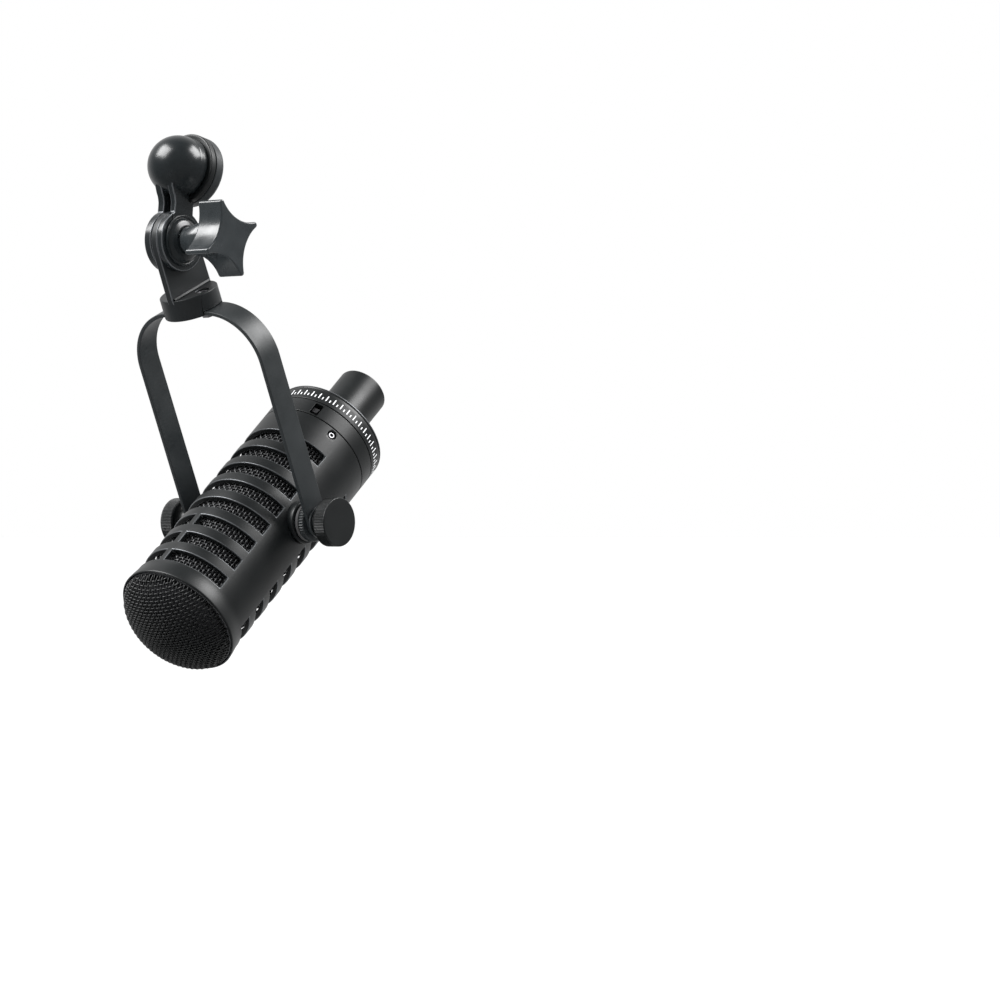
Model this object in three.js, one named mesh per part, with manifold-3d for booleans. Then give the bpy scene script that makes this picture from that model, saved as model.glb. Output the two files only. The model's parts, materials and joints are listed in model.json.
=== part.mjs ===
// Dynamic broadcast microphone hung in a yoke, with the swivel that joins the yoke to a microphone boom.
//
// Millimetres, +Z up. The origin is the centre of the hub's rear face, where the boom screws in. +X is the
// direction of the swivel's hinge and of the yoke's pivots, and the boom leaves towards +Y.
import * as THREE from 'three';
import { mergeVertices } from 'three/addons/utils/BufferGeometryUtils.js';
import Module from 'manifold-3d';

const wasm = await Module();
wasm.setup();

// ---- Rest pose, in degrees about +X
const BOOM_FALL = 11; // the boom runs down as it goes away
const YOKE_LEAN = 24.1; // the yoke's top leans forward
const MIC_TILT = 39.3; // the microphone's front points down

const GAP = 0.3; // clearance between neighbouring pieces

// ---- Sides of the polygons that stand for circles
const LARGE_ROUND = 40;
const MEDIUM_ROUND = 24;
const SMALL_ROUND = 12;
const PIN_ROUND = 8;

// ---- Hub and ball housing, along the boom's axis, with y = 0 at the hub's rear face
const FLANGE_R = 17.3;
const HUB_LENGTH = 5.6;
const HUB_NECK_R = 11.4;
const HUB_NECK_END = -14.5;
const CLIP_GROOVE_R = 10.6;
const CLIP_GROOVE = [-13.9, -12.5];
const THREAD_BORE_R = 7.5; // tapped 5/8 inch, 27 threads per inch
const INSERT_R = 9.2;
const LOCK_RING = [-9.3, -5.9];
const BALL_Y = -14.2;
const BALL_R = 14.7;
const BALL_RIM_R = 14.9;
const BALL_RIM_Y = -9.6;
const SOCKET_R = 12.7;
const SOCKET_END = -15.5;

// ---- Swivel hinge: the centre is given from the ball's centre
const HINGE_OFFSET = [3.86, -36.28];
const CHEEK_R = 14.6;
const NECK_HALF_WIDTH = 6.45;
const LEFT_CHEEK = [-5.6, -1.6];
const RIGHT_CHEEK = [2.6, 5.8];
const TONGUE = [-1.3, 2.3];
const TONGUE_R = 14.4;
const TONGUE_FOOT = 14.8; // half its width at the disc
const BOLT_R = 3;
const BOLT_HOLE_R = 3.4;
const BOLT_END = 21.5;
const BOLT_HEAD = [-9.9, -5.9];
const BOLT_HEAD_R = 5.8;
const BUSH_R = 4.7;

// ---- Star knob
const KNOB_BACK = 23.4;
const KNOB_FRONT = 37.9;
const KNOB_TIP_R = 19.2;
const KNOB_TIP_ROUND = 1.45;
const KNOB_WAIST_R = 10.15;
const KNOB_TURN = 23.4; // degrees from the vertical to a tip
const KNOB_HUB_START = 9.7;
const KNOB_BORE_R = 5.4;

// ---- Yoke base and bracket, with z = 0 at the hinge
const DISC_R = 14.4;
const DISC_TOP = -25.6;
const CHANNEL_ROOF = -33.9; // of the channel across the underside, where the strap lies
const YOKE_SCREW_X = 9;
const YOKE_SCREW_R = 1.9;
const YOKE_SCREW_HEAD_R = 3;
const COUNTERBORE_R = 3.4;
const COUNTERBORE_DEPTH = 3.2;
const YOKE_TOP = CHANNEL_ROOF - GAP;
const YOKE_HEIGHT = 113.4; // from the pivots to the top of the strap
const YOKE_HALF_SPAN = 40.1;
const YOKE_BEND_R = 27.8;
const STRAP_WIDTH = 13.7;
const STRAP_THICKNESS = 2;
const PIVOT_Z = YOKE_TOP - YOKE_HEIGHT;
const PIVOT_HOLE_R = 3.4;

// ---- Microphone, along its own +Y from front to rear, with the pivots at y = 0
const BARREL_R = 30;
const BARREL_BORE_R = 27.4;
const BARREL_FRONT = -74.5;
const BARREL_REAR = 51.9;
const LIP_R = 30.9;
const GRILLE_SEAT_R = 30.1;
const GRILLE_SEAT_END = BARREL_FRONT + 4;
const SLOT_ROWS = 8;
const SPLIT_ROWS = 3; // rows nearest the front, divided by a rib
const SLOT_START = -64.3;
const SLOT_PITCH = 13.25;
const SLOT_WIDTH = 7.5;
const SLOT_END_ANGLE = 66;
const RIB_HALF_ANGLE = 3;
const BOSS_R = 10.7;
const BOSS_X = 32.5;
const SET_SCREW_Y = 48.4;
const SET_SCREW_ANGLES = [58, 178, 298];
const SET_SCREW_R = 1.9;
const SET_SCREW_HOLE_R = 2.3;

const GRILLE_R = 29.8;
const GRILLE_HEIGHT = 15.6;
const GRILLE_POWER = 1.17; // 1 would make the dome an ellipse
const GRILLE_WALL = 0.9;
const SLEEVE_R = 27.1;

const REAR_HOUSING = [BARREL_REAR + GAP, 61.3];
const SPIGOT_R = 27.1;
const REAR_BORE_R = 24.5;
const SWITCH_ANGLE = 30.5;
const SWITCH_Y = 56.7;
const SWITCH_SLOT = [4.4, 7];
const TAIL_CAP = [61.6, 71.3];
const XLR_R = 13.1;
const XLR_BORE_R = 8.2;
const XLR_END = 106;
const XLR_PIN_R = 1.2;
const XLR_PIN_CIRCLE_R = 4.6;
const XLR_PIN_ANGLES = [-50, 50, 180];

const CAPSULE_R = 17;
const MOUNT_OUTER_R = 24.6;

// ---- Thumbscrew stack, outward along +X from the boss
const PAD = [32.8, 34.6];
const LOCK_WASHER = [34.9, 37.8];
const THUMB_WASHER = [40.4, 41.4];
const THUMB_SHANK_START = 28;
const THUMB_COLLAR = [41.7, 46];
const THUMB_COLLAR_R = 7.2;
const THUMB_HEAD_END = 53.4;
const THUMB_HEAD_R = 11.9;
const THUMB_SHANK_R = 3;

const radians = THREE.MathUtils.degToRad;

// ---- Solids and meshes

function toSolid(geometry) {
  const bare = geometry.clone();
  bare.deleteAttribute('normal');
  bare.deleteAttribute('uv');
  const merged = mergeVertices(bare, 1e-4);
  const kept = [];
  const index = merged.index.array;
  for (let i = 0; i < index.length; i += 3) {
    const [a, b, c] = index.slice(i, i + 3);
    if (a !== b && b !== c && c !== a) kept.push(a, b, c);
  }
  const vertProperties = new Float32Array(merged.attributes.position.array);
  return new wasm.Manifold(new wasm.Mesh({ numProp: 3, vertProperties, triVerts: new Uint32Array(kept) }));
}

function toGeometry(solid) {
  const { vertProperties, triVerts } = solid.getMesh();
  const geometry = new THREE.BufferGeometry();
  geometry.setAttribute('position', new THREE.BufferAttribute(vertProperties, 3));
  geometry.setIndex(new THREE.BufferAttribute(triVerts, 1));
  geometry.computeVertexNormals();
  return geometry;
}

function join(...geometries) {
  return toGeometry(geometries.map(toSolid).reduce((sum, next) => sum.add(next)));
}

function cut(geometry, ...tools) {
  return toGeometry(tools.map(toSolid).reduce((rest, tool) => rest.subtract(tool), toSolid(geometry)));
}

// A profile of [radius, height] points turned about +Y. One that starts off the axis is closed on itself.
function turned(profile, segments) {
  let area = 0;
  profile.forEach(([r, y], i) => {
    const [nextR, nextY] = profile[(i + 1) % profile.length];
    area += r * nextY - nextR * y;
  });
  const ordered = area > 0 ? [...profile] : [...profile].reverse();
  if (ordered[0][0] > 0) ordered.push(ordered[0]);
  return new THREE.LatheGeometry(ordered.map(([r, y]) => new THREE.Vector2(r, y)), segments);
}

const turnedAboutX = (profile, segments) => turned(profile, segments).rotateZ(-Math.PI / 2);
const turnedAboutZ = (profile, segments) => turned(profile, segments).rotateX(Math.PI / 2);

const rod = (radius, [start, end]) => [[0, start], [radius, start], [radius, end], [0, end]];
const ring = (inner, outer, [start, end]) => [[inner, start], [outer, start], [outer, end], [inner, end]];

// A ring whose outer corners are chamfered.
const softRing = (inner, outer, [start, end], edge) => [
  [inner, start], [outer - edge, start], [outer, start + edge],
  [outer, end - edge], [outer - edge, end], [inner, end],
];

// A shape drawn in (y, z), extruded along X between two planes.
function plate(shape, [start, end], curveSegments = SMALL_ROUND) {
  const depth = end - start;
  const geometry = new THREE.ExtrudeGeometry(shape, { depth, bevelEnabled: false, curveSegments });
  const toYZ = new THREE.Matrix4().makeBasis(
    new THREE.Vector3(0, 1, 0), new THREE.Vector3(0, 0, 1), new THREE.Vector3(1, 0, 0));
  return geometry.applyMatrix4(toYZ).translate(start, 0, 0);
}

// ---- Hub: screws onto the boom and stays still

function boomHub() {
  const [grooveStart, grooveEnd] = CLIP_GROOVE;
  const bore = INSERT_R + GAP;
  return turned([
    [bore, 0], [FLANGE_R - 1.6, 0], [FLANGE_R - 0.2, -1.8], [FLANGE_R, -2.2], [FLANGE_R, 0.4 - HUB_LENGTH],
    [FLANGE_R - 0.4, -HUB_LENGTH], [HUB_NECK_R, -HUB_LENGTH], [HUB_NECK_R, grooveEnd],
    [CLIP_GROOVE_R, grooveEnd], [CLIP_GROOVE_R, grooveStart], [HUB_NECK_R, grooveStart],
    [HUB_NECK_R, HUB_NECK_END], [bore, HUB_NECK_END],
  ], MEDIUM_ROUND);
}

function threadInsert() {
  const [start, end] = [HUB_NECK_END + 0.3, -0.5];
  return turned([[INSERT_R, end], [INSERT_R, start], [THREAD_BORE_R, start], [THREAD_BORE_R, end - 1],
    [THREAD_BORE_R + 1, end]], MEDIUM_ROUND);
}

// A spring ring that snaps round the neck and keeps the ball housing on it.
function retainingClip() {
  const [start, end] = CLIP_GROOVE;
  const opening = new THREE.BoxGeometry(5, 4, 6).translate(0, (start + end) / 2, HUB_NECK_R);
  const whole = turned(ring(CLIP_GROOVE_R + 0.2, SOCKET_R - GAP, [start + 0.2, end - 0.2]), MEDIUM_ROUND);
  return cut(whole, opening);
}

// ---- Ball housing: turns on the hub, and carries the hinge in its two ears

function ear(span) {
  const [hingeY, hingeZ] = HINGE_OFFSET;
  const length = Math.hypot(hingeY, hingeZ);
  const along = new THREE.Vector2(hingeY, hingeZ).divideScalar(length);
  const across = new THREE.Vector2(-along.y, along.x);
  const outline = [[6, 10], [13, 9.6], [15.5, 7.4], [18, NECK_HALF_WIDTH], [length - 8, NECK_HALF_WIDTH]];
  const side = (sign) => outline.map(([t, half]) => new THREE.Vector2(BALL_Y, 0)
    .addScaledVector(along, t).addScaledVector(across, sign * half));
  const neck = plate(new THREE.Shape([...side(1), ...side(-1).reverse()]), span);
  return join(neck, turnedAboutX(softRing(BOLT_HOLE_R, CHEEK_R, span, 0.5), MEDIUM_ROUND)
    .translate(0, BALL_Y + hingeY, hingeZ));
}

function ballHousing() {
  const ball = new THREE.SphereGeometry(BALL_R, MEDIUM_ROUND, SMALL_ROUND)
    .rotateX(Math.PI / 2).translate(0, BALL_Y, 0);
  const rim = turned([[0, BALL_Y], [BALL_RIM_R, BALL_Y], [BALL_RIM_R, BALL_RIM_Y - 0.4],
    [BALL_RIM_R - 0.4, BALL_RIM_Y], [0, BALL_RIM_Y]], MEDIUM_ROUND);
  const ringClearance = FLANGE_R + GAP;
  const socket = turned([[0, SOCKET_END], [SOCKET_R, SOCKET_END], [SOCKET_R, BALL_RIM_Y],
    [ringClearance, BALL_RIM_Y], [ringClearance, 1], [0, 1]], MEDIUM_ROUND);
  const [hingeY, hingeZ] = HINGE_OFFSET;
  const boltHole = turnedAboutX(rod(BOLT_HOLE_R, [-8, 8]), SMALL_ROUND).translate(0, BALL_Y + hingeY, hingeZ);
  return cut(join(ball, rim, ear(LEFT_CHEEK), ear(RIGHT_CHEEK)), socket, boltHole);
}

function lockRing() {
  return turned(softRing(HUB_NECK_R + GAP, FLANGE_R, LOCK_RING, 0.6), MEDIUM_ROUND);
}

function hingeBolt() {
  const shank = turnedAboutX(rod(BOLT_R, [BOLT_HEAD[1] - 0.5, BOLT_END]), SMALL_ROUND);
  return join(shank, turnedAboutX(rod(BOLT_HEAD_R, BOLT_HEAD), 6));
}

function dishedWasher() {
  const face = RIGHT_CHEEK[1] + GAP;
  return turnedAboutX([
    [BOLT_HOLE_R, face], [12.1, face], [12.3, face + 0.3], [12.1, face + 0.9], [10.6, face + 1.7],
    [7.5, face + 2.6], [BOLT_HOLE_R, face + 2.9],
  ], MEDIUM_ROUND);
}

// ---- Star knob: clamps the hinge

function starShape() {
  // Four small round tips joined by wide hollows. Tips and hollows are arcs that meet smoothly.
  const tipCentre = KNOB_TIP_R - KNOB_TIP_ROUND;
  const inset = KNOB_WAIST_R - KNOB_TIP_ROUND;
  const hollowCentre = (tipCentre ** 2 - inset ** 2) / (Math.SQRT2 * tipCentre - 2 * inset);
  const hollowR = hollowCentre - KNOB_WAIST_R;
  const side = hollowCentre / Math.SQRT2;
  const tipSweep = Math.atan2(side, side - tipCentre);
  const hollowSweep = tipSweep - Math.PI / 4;
  const points = [];
  const addArc = (distance, heading, radius, start, end, steps) => {
    for (let i = 0; i < steps; i += 1) {
      const angle = heading + start + ((end - start) * i) / steps;
      points.push(new THREE.Vector2(distance * Math.cos(heading) + radius * Math.cos(angle),
        distance * Math.sin(heading) + radius * Math.sin(angle)));
    }
  };
  for (let tip = 0; tip < 4; tip += 1) {
    const heading = tip * (Math.PI / 2);
    addArc(tipCentre, heading, KNOB_TIP_ROUND, -tipSweep, tipSweep, 6);
    addArc(hollowCentre, heading + Math.PI / 4, hollowR, Math.PI + hollowSweep, Math.PI - hollowSweep, 8);
  }
  return new THREE.Shape(points);
}

function starKnob() {
  const star = plate(starShape(), [KNOB_BACK, KNOB_FRONT]).rotateX(radians(KNOB_TURN));
  const hub = turnedAboutX([
    [0, KNOB_HUB_START], [6.5, KNOB_HUB_START], [6.5, KNOB_HUB_START + 2], [9.4, KNOB_BACK + 1],
    [0, KNOB_BACK + 1],
  ], MEDIUM_ROUND);
  const bore = turnedAboutX(rod(KNOB_BORE_R, [KNOB_HUB_START - 1, KNOB_BACK + 2.4]), SMALL_ROUND);
  return cut(join(star, hub), bore);
}

function knobInsert() {
  const span = [KNOB_HUB_START + 0.3, KNOB_BACK + 2];
  return turnedAboutX(ring(BOLT_R + GAP, KNOB_BORE_R - GAP, span), SMALL_ROUND);
}

// ---- Yoke base: the tongue between the ears, and the disc on top of the bracket

function yokeBase() {
  // The strap lies in a channel across the underside, so the disc's rim reaches down to the strap's.
  const rimBottom = YOKE_TOP - STRAP_THICKNESS;
  const shape = new THREE.Shape();
  shape.moveTo(TONGUE_R, 0);
  shape.absarc(0, 0, TONGUE_R, 0, Math.PI, false);
  shape.lineTo(-TONGUE_FOOT, DISC_TOP);
  shape.lineTo(-TONGUE_FOOT, rimBottom);
  shape.lineTo(TONGUE_FOOT, rimBottom);
  shape.lineTo(TONGUE_FOOT, DISC_TOP);
  const disc = turnedAboutZ([
    [0, rimBottom], [DISC_R - 0.6, rimBottom], [DISC_R, rimBottom + 0.6], [DISC_R, DISC_TOP - 0.8],
    [DISC_R - 0.8, DISC_TOP], [0, DISC_TOP],
  ], MEDIUM_ROUND);
  const channel = new THREE.BoxGeometry(3 * DISC_R, STRAP_WIDTH + 2 * GAP, 4)
    .translate(0, 0, CHANNEL_ROOF - 2);
  const counterboreBottom = DISC_TOP - COUNTERBORE_DEPTH;
  const screwSeat = [
    [0, CHANNEL_ROOF - 1], [YOKE_SCREW_R + GAP, CHANNEL_ROOF - 1], [YOKE_SCREW_R + GAP, counterboreBottom],
    [COUNTERBORE_R, counterboreBottom], [COUNTERBORE_R, DISC_TOP + 1], [0, DISC_TOP + 1],
  ];
  const holes = [-YOKE_SCREW_X, YOKE_SCREW_X].map((x) => (
    turnedAboutZ(screwSeat, SMALL_ROUND).translate(x, 0, 0)));
  const boltHole = turnedAboutX(rod(BUSH_R + GAP, [-5, 5]), SMALL_ROUND);
  return cut(join(plate(shape, TONGUE), disc), boltHole, channel, ...holes);
}

function pivotBush() {
  return turnedAboutX(ring(BOLT_HOLE_R, BUSH_R, TONGUE), SMALL_ROUND);
}

function yokeScrew(x) {
  const seat = DISC_TOP - COUNTERBORE_DEPTH + GAP;
  const strapBottom = YOKE_TOP - STRAP_THICKNESS;
  const head = turnedAboutZ([[0, seat], [YOKE_SCREW_HEAD_R, seat], [YOKE_SCREW_HEAD_R, seat + 1.6],
    [YOKE_SCREW_HEAD_R - 0.6, seat + 2.2], [0, seat + 2.2]], SMALL_ROUND);
  const shank = turnedAboutZ(rod(YOKE_SCREW_R, [strapBottom - 2.6, seat + 0.5]), PIN_ROUND);
  const recess = new THREE.CylinderGeometry(1.5, 1.5, 2.4, 6)
    .rotateX(Math.PI / 2).translate(0, 0, seat + 2.2);
  return cut(join(head, shank), recess).translate(x, 0, 0);
}

function yokeNut(x) {
  const top = YOKE_TOP - STRAP_THICKNESS - GAP;
  return turnedAboutZ(ring(YOKE_SCREW_R + GAP, 3.6, [top - 2.2, top]), 6).translate(x, 0, 0);
}

// The strap is bent from flat bar: its outline is drawn from the front, and its round ends from the side.
function yokeBracket() {
  const outer = YOKE_HALF_SPAN;
  const inner = YOKE_HALF_SPAN - STRAP_THICKNESS;
  const bendX = YOKE_HALF_SPAN - YOKE_BEND_R;
  const bendZ = YOKE_TOP - YOKE_BEND_R;
  const innerBendR = YOKE_BEND_R - STRAP_THICKNESS;
  const bottom = PIVOT_Z - STRAP_WIDTH;
  const edge = 0.3;
  const outline = new THREE.Shape();
  outline.moveTo(-outer, bottom);
  outline.absarc(-bendX, bendZ, YOKE_BEND_R, Math.PI, Math.PI / 2, true);
  outline.absarc(bendX, bendZ, YOKE_BEND_R, Math.PI / 2, 0, true);
  outline.lineTo(outer, bottom);
  outline.lineTo(inner, bottom);
  outline.absarc(bendX, bendZ, innerBendR, 0, Math.PI / 2, false);
  outline.absarc(-bendX, bendZ, innerBendR, Math.PI / 2, Math.PI, false);
  outline.lineTo(-inner, bottom);
  const strap = new THREE.ExtrudeGeometry(outline, {
    depth: STRAP_WIDTH - 2 * edge, curveSegments: 12, bevelSegments: 1, bevelSize: edge, bevelThickness: edge,
    bevelOffset: -edge,
  }).rotateX(Math.PI / 2).translate(0, STRAP_WIDTH / 2 - edge, 0);

  const half = STRAP_WIDTH / 2;
  const sideView = new THREE.Shape();
  sideView.moveTo(half, YOKE_TOP + 1);
  sideView.lineTo(-half, YOKE_TOP + 1);
  sideView.absarc(0, PIVOT_Z, half, Math.PI, 2 * Math.PI, false);
  const envelope = plate(sideView, [-outer - 1, outer + 1], 12);
  const rounded = toGeometry(toSolid(strap).intersect(toSolid(envelope)));

  const pivotHole = turnedAboutX(rod(PIVOT_HOLE_R, [-outer - 1, outer + 1]), SMALL_ROUND)
    .translate(0, 0, PIVOT_Z);
  const screwHoles = [-YOKE_SCREW_X, YOKE_SCREW_X].map((x) => (
    turnedAboutZ(rod(YOKE_SCREW_R + GAP, [YOKE_TOP - 4, YOKE_TOP + 1]), PIN_ROUND).translate(x, 0, 0)));
  return cut(rounded, pivotHole, ...screwHoles);
}

// ---- Microphone shells

// Turns a geometry that stands at the top of the barrel round the barrel's axis, from +Z towards +X.
const placedAround = (geometry, angle, y) => geometry.rotateY(radians(angle)).translate(0, y, 0);

// A wedge of the space between two radii, one slot wide, between two angles from the barrel's top.
function slotCutter(fromAngle, toAngle, y) {
  const shape = new THREE.Shape();
  const start = radians(90 - fromAngle);
  const end = radians(90 - toAngle);
  shape.absarc(0, 0, BARREL_R + 3, start, end, true);
  shape.absarc(0, 0, BARREL_BORE_R - 3, end, start, false);
  const curveSegments = Math.max(6, Math.round((toAngle - fromAngle) / 6));
  return new THREE.ExtrudeGeometry(shape, { depth: SLOT_WIDTH, bevelEnabled: false, curveSegments })
    .rotateX(Math.PI / 2).translate(0, y + SLOT_WIDTH, 0);
}

function slotCutters() {
  const cutters = [];
  for (let row = 0; row < SLOT_ROWS; row += 1) {
    const y = SLOT_START + row * SLOT_PITCH;
    const spans = row < SPLIT_ROWS
      ? [[-SLOT_END_ANGLE, -RIB_HALF_ANGLE], [RIB_HALF_ANGLE, SLOT_END_ANGLE]]
      : [[-SLOT_END_ANGLE, SLOT_END_ANGLE]];
    for (const [from, to] of spans) {
      for (const side of [0, 180]) cutters.push(slotCutter(from + side, to + side, y));
    }
  }
  return cutters;
}

function barrel() {
  const skin = turned([
    [0, BARREL_FRONT], [LIP_R - 0.4, BARREL_FRONT], [LIP_R, BARREL_FRONT + 0.5],
    [LIP_R - 0.1, BARREL_FRONT + 2.5], [LIP_R - 0.5, BARREL_FRONT + 5], [BARREL_R, BARREL_FRONT + 9],
    [BARREL_R, BARREL_REAR - 0.4], [BARREL_R - 0.4, BARREL_REAR], [0, BARREL_REAR],
  ], LARGE_ROUND);
  const bosses = turnedAboutX([
    [0, -BOSS_X], [BOSS_R - 0.6, -BOSS_X], [BOSS_R, 0.6 - BOSS_X], [BOSS_R, BOSS_X - 0.6],
    [BOSS_R - 0.6, BOSS_X], [0, BOSS_X],
  ], MEDIUM_ROUND);
  const bore = turned([
    [0, BARREL_FRONT - 1], [GRILLE_SEAT_R, BARREL_FRONT - 1], [GRILLE_SEAT_R, GRILLE_SEAT_END],
    [BARREL_BORE_R, GRILLE_SEAT_END], [BARREL_BORE_R, BARREL_REAR + 1], [0, BARREL_REAR + 1],
  ], LARGE_ROUND);
  const pivotHole = turnedAboutX(rod(PIVOT_HOLE_R, [-BOSS_X - 1, BOSS_X + 1]), SMALL_ROUND);
  const screwHole = rod(SET_SCREW_HOLE_R, [BARREL_BORE_R - 2, BARREL_R + 2]);
  const screwHoles = SET_SCREW_ANGLES.map((angle) => (
    placedAround(turnedAboutZ(screwHole, SMALL_ROUND), angle, SET_SCREW_Y)));
  return cut(join(skin, bosses), bore, pivotHole, ...screwHoles, ...slotCutters());
}

// A domed shell from its apex to a straight skirt; the wall is between the two curves.
function dome(radius, height, wall, baseY, skirtEnd, steps) {
  const curve = (r, h) => Array.from({ length: steps }, (_, i) => {
    const angle = (Math.PI / 2) * (1 - i / (steps - 1));
    return [r * Math.abs(Math.cos(angle)) ** GRILLE_POWER, baseY - h * Math.sin(angle) ** GRILLE_POWER];
  });
  const outside = curve(radius, height);
  const inside = curve(radius - wall, height - wall);
  outside[0][0] = 0;
  inside[0][0] = 0;
  return turned([...outside, [radius, skirtEnd], [radius - wall, skirtEnd], ...inside.reverse()],
    LARGE_ROUND);
}

const frontGrille = () => dome(GRILLE_R, GRILLE_HEIGHT, GRILLE_WALL, BARREL_FRONT, BARREL_FRONT + 3.2, 7);

function grilleClampRing() {
  return turned(ring(24.6, SLEEVE_R, [BARREL_FRONT + 4.4, BARREL_FRONT + 7]), MEDIUM_ROUND);
}

function meshSleeve() {
  return turned(ring(SLEEVE_R - 0.8, SLEEVE_R, [BARREL_FRONT + 7.3, 43.4]), LARGE_ROUND);
}

function clothLiner() {
  return turned(ring(SLEEVE_R - 2, SLEEVE_R - 1.1, [BARREL_FRONT + 7.3, 43.4]), LARGE_ROUND);
}

function foamWindscreen() {
  const rear = -62;
  return turned([
    [0, BARREL_FRONT - 12.4], [12, BARREL_FRONT - 10], [21, BARREL_FRONT - 4.6], [24.2, BARREL_FRONT],
    [24.2, rear], [0, rear],
  ], MEDIUM_ROUND);
}

function setScrew(angle) {
  const top = BARREL_R - 0.5;
  const body = turnedAboutZ([[0, SPIGOT_R + GAP], [SET_SCREW_R, SPIGOT_R + GAP], [SET_SCREW_R, top - 0.3],
    [SET_SCREW_R - 0.3, top], [0, top]], SMALL_ROUND);
  const socket = new THREE.CylinderGeometry(1, 1, 2.4, 6).rotateX(Math.PI / 2).translate(0, 0, top);
  return placedAround(cut(body, socket), angle, SET_SCREW_Y);
}

// ---- Rear end

function rearHousing() {
  const [start, end] = REAR_HOUSING;
  const shell = turned([
    [REAR_BORE_R, 44], [SPIGOT_R, 44], [SPIGOT_R, start], [BARREL_R - 0.3, start], [BARREL_R, start + 0.3],
    [BARREL_R, end - 0.3], [BARREL_R - 0.3, end], [26.2, end], [26.2, 65.5], [REAR_BORE_R, 65.5],
  ], LARGE_ROUND);
  const [width, length] = SWITCH_SLOT;
  const slot = new THREE.BoxGeometry(width, length, 12).translate(0, 0, 28);
  return cut(shell, placedAround(slot, SWITCH_ANGLE, SWITCH_Y));
}

function switchBody() {
  return placedAround(new THREE.BoxGeometry(6, 8.4, 4).translate(0, 0, 21.6), SWITCH_ANGLE, SWITCH_Y);
}

function switchSlider() {
  const stem = new THREE.BoxGeometry(3, 2, 3.4).translate(0, 0, 25.6);
  const button = new THREE.BoxGeometry(3.7, 3, 1.9).translate(0, 0, 27.85);
  return placedAround(join(stem, button), SWITCH_ANGLE, SWITCH_Y);
}

function circuitBoard() {
  return turned(rod(22.6, [48, 49.6]), MEDIUM_ROUND);
}

function transformer() {
  const core = new THREE.BoxGeometry(18, 15, 14);
  const coil = new THREE.BoxGeometry(10, 17, 19);
  return join(core, coil).translate(0, 32, 0);
}

function tailCap() {
  const [start, end] = TAIL_CAP;
  const plateStart = end - 2.8;
  return turned([
    [XLR_R + GAP, plateStart], [26.5, plateStart], [26.5, start], [BARREL_R - 0.3, start],
    [BARREL_R, start + 0.3], [BARREL_R, end - 0.9], [BARREL_R - 0.3, end - 0.3], [BARREL_R - 0.9, end],
    [XLR_R + GAP, end],
  ], LARGE_ROUND);
}

function xlrSleeve() {
  const flange = [TAIL_CAP[1] - 6.3, TAIL_CAP[1] - 3.1];
  return turned([
    [XLR_BORE_R, flange[0]], [17.5, flange[0]], [17.5, flange[1]], [XLR_R, flange[1]],
    [XLR_R, XLR_END - 1.2], [XLR_R - 0.35, XLR_END - 0.35], [XLR_R - 1.2, XLR_END],
    [XLR_BORE_R + 0.5, XLR_END], [XLR_BORE_R, XLR_END - 0.5],
  ], MEDIUM_ROUND);
}

const xlrPinPlace = (angle) => [
  XLR_PIN_CIRCLE_R * Math.sin(radians(angle)), XLR_PIN_CIRCLE_R * Math.cos(radians(angle)),
];

function xlrInsert() {
  const disc = turned(rod(XLR_BORE_R - GAP, [82, 88]), MEDIUM_ROUND);
  const holes = XLR_PIN_ANGLES.map((angle) => {
    const [x, z] = xlrPinPlace(angle);
    return turned(rod(XLR_PIN_R + GAP, [81, 89]), PIN_ROUND).translate(x, 0, z);
  });
  return cut(disc, ...holes);
}

function xlrPin(angle) {
  const [x, z] = xlrPinPlace(angle);
  return turned([[0, 80], [XLR_PIN_R, 80], [XLR_PIN_R, 101.2], [XLR_PIN_R - 0.7, 102], [0, 102]], PIN_ROUND)
    .translate(x, 0, z);
}

// ---- Capsule, a moving-coil motor on two rubber rings

function capsuleHousing() {
  return turned([
    [CAPSULE_R - 1.2, -56], [CAPSULE_R, -56], [CAPSULE_R, -26], [4, -26], [4, -27.2],
    [CAPSULE_R - 1.2, -27.2],
  ], MEDIUM_ROUND);
}

function capsuleFrontCap() {
  const ventCount = 6;
  const ventCircleR = 10;
  const vents = Array.from({ length: ventCount }, (_, i) => {
    const angle = (2 * Math.PI * i) / ventCount;
    return turned(rod(1.8, [-60, -55]), PIN_ROUND)
      .translate(ventCircleR * Math.cos(angle), 0, ventCircleR * Math.sin(angle));
  });
  return cut(turned(rod(CAPSULE_R, [-57.6, -56.3]), MEDIUM_ROUND), ...vents);
}

function diaphragm() {
  const curve = (drop) => [[0, -55.2 + drop], [6, -54.5 + drop], [9.6, -52.8 + drop], [12.4, -53.6 + drop],
    [15.3, -53 + drop]];
  return turned([...curve(0), ...curve(0.3).reverse()], MEDIUM_ROUND);
}

const voiceCoil = () => turned(ring(9.3, 9.8, [-52.2, -46.5]), MEDIUM_ROUND);
const topPlate = () => turned(ring(10.3, 15.2, [-50.5, -47.5]), MEDIUM_ROUND);
const magnet = () => turned(rod(8.6, [-50.5, -39.2]), MEDIUM_ROUND);

function magnetCup() {
  return turned([[0, -35.4], [15.2, -35.4], [15.2, -47.2], [12.6, -47.2], [12.6, -38.9], [0, -38.9]],
    MEDIUM_ROUND);
}

const shockMount = (y) => turned(softRing(CAPSULE_R + GAP, MOUNT_OUTER_R, [y, y + 4], 0.8), MEDIUM_ROUND);

// ---- Pivots. Each piece is drawn on the +X side, and side = -1 puts it on the other.

const onSide = (profile, side, segments) => turnedAboutX(profile, segments).rotateY(side > 0 ? 0 : Math.PI);

const pivotPad = (side) => onSide(softRing(PIVOT_HOLE_R, 9.4, PAD, 0.4), side, MEDIUM_ROUND);
const lockWasher = (side) => onSide(softRing(PIVOT_HOLE_R, 9.7, LOCK_WASHER, 0.4), side, MEDIUM_ROUND);
const thumbWasher = (side) => onSide(ring(PIVOT_HOLE_R, 8, THUMB_WASHER), side, MEDIUM_ROUND);

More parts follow.
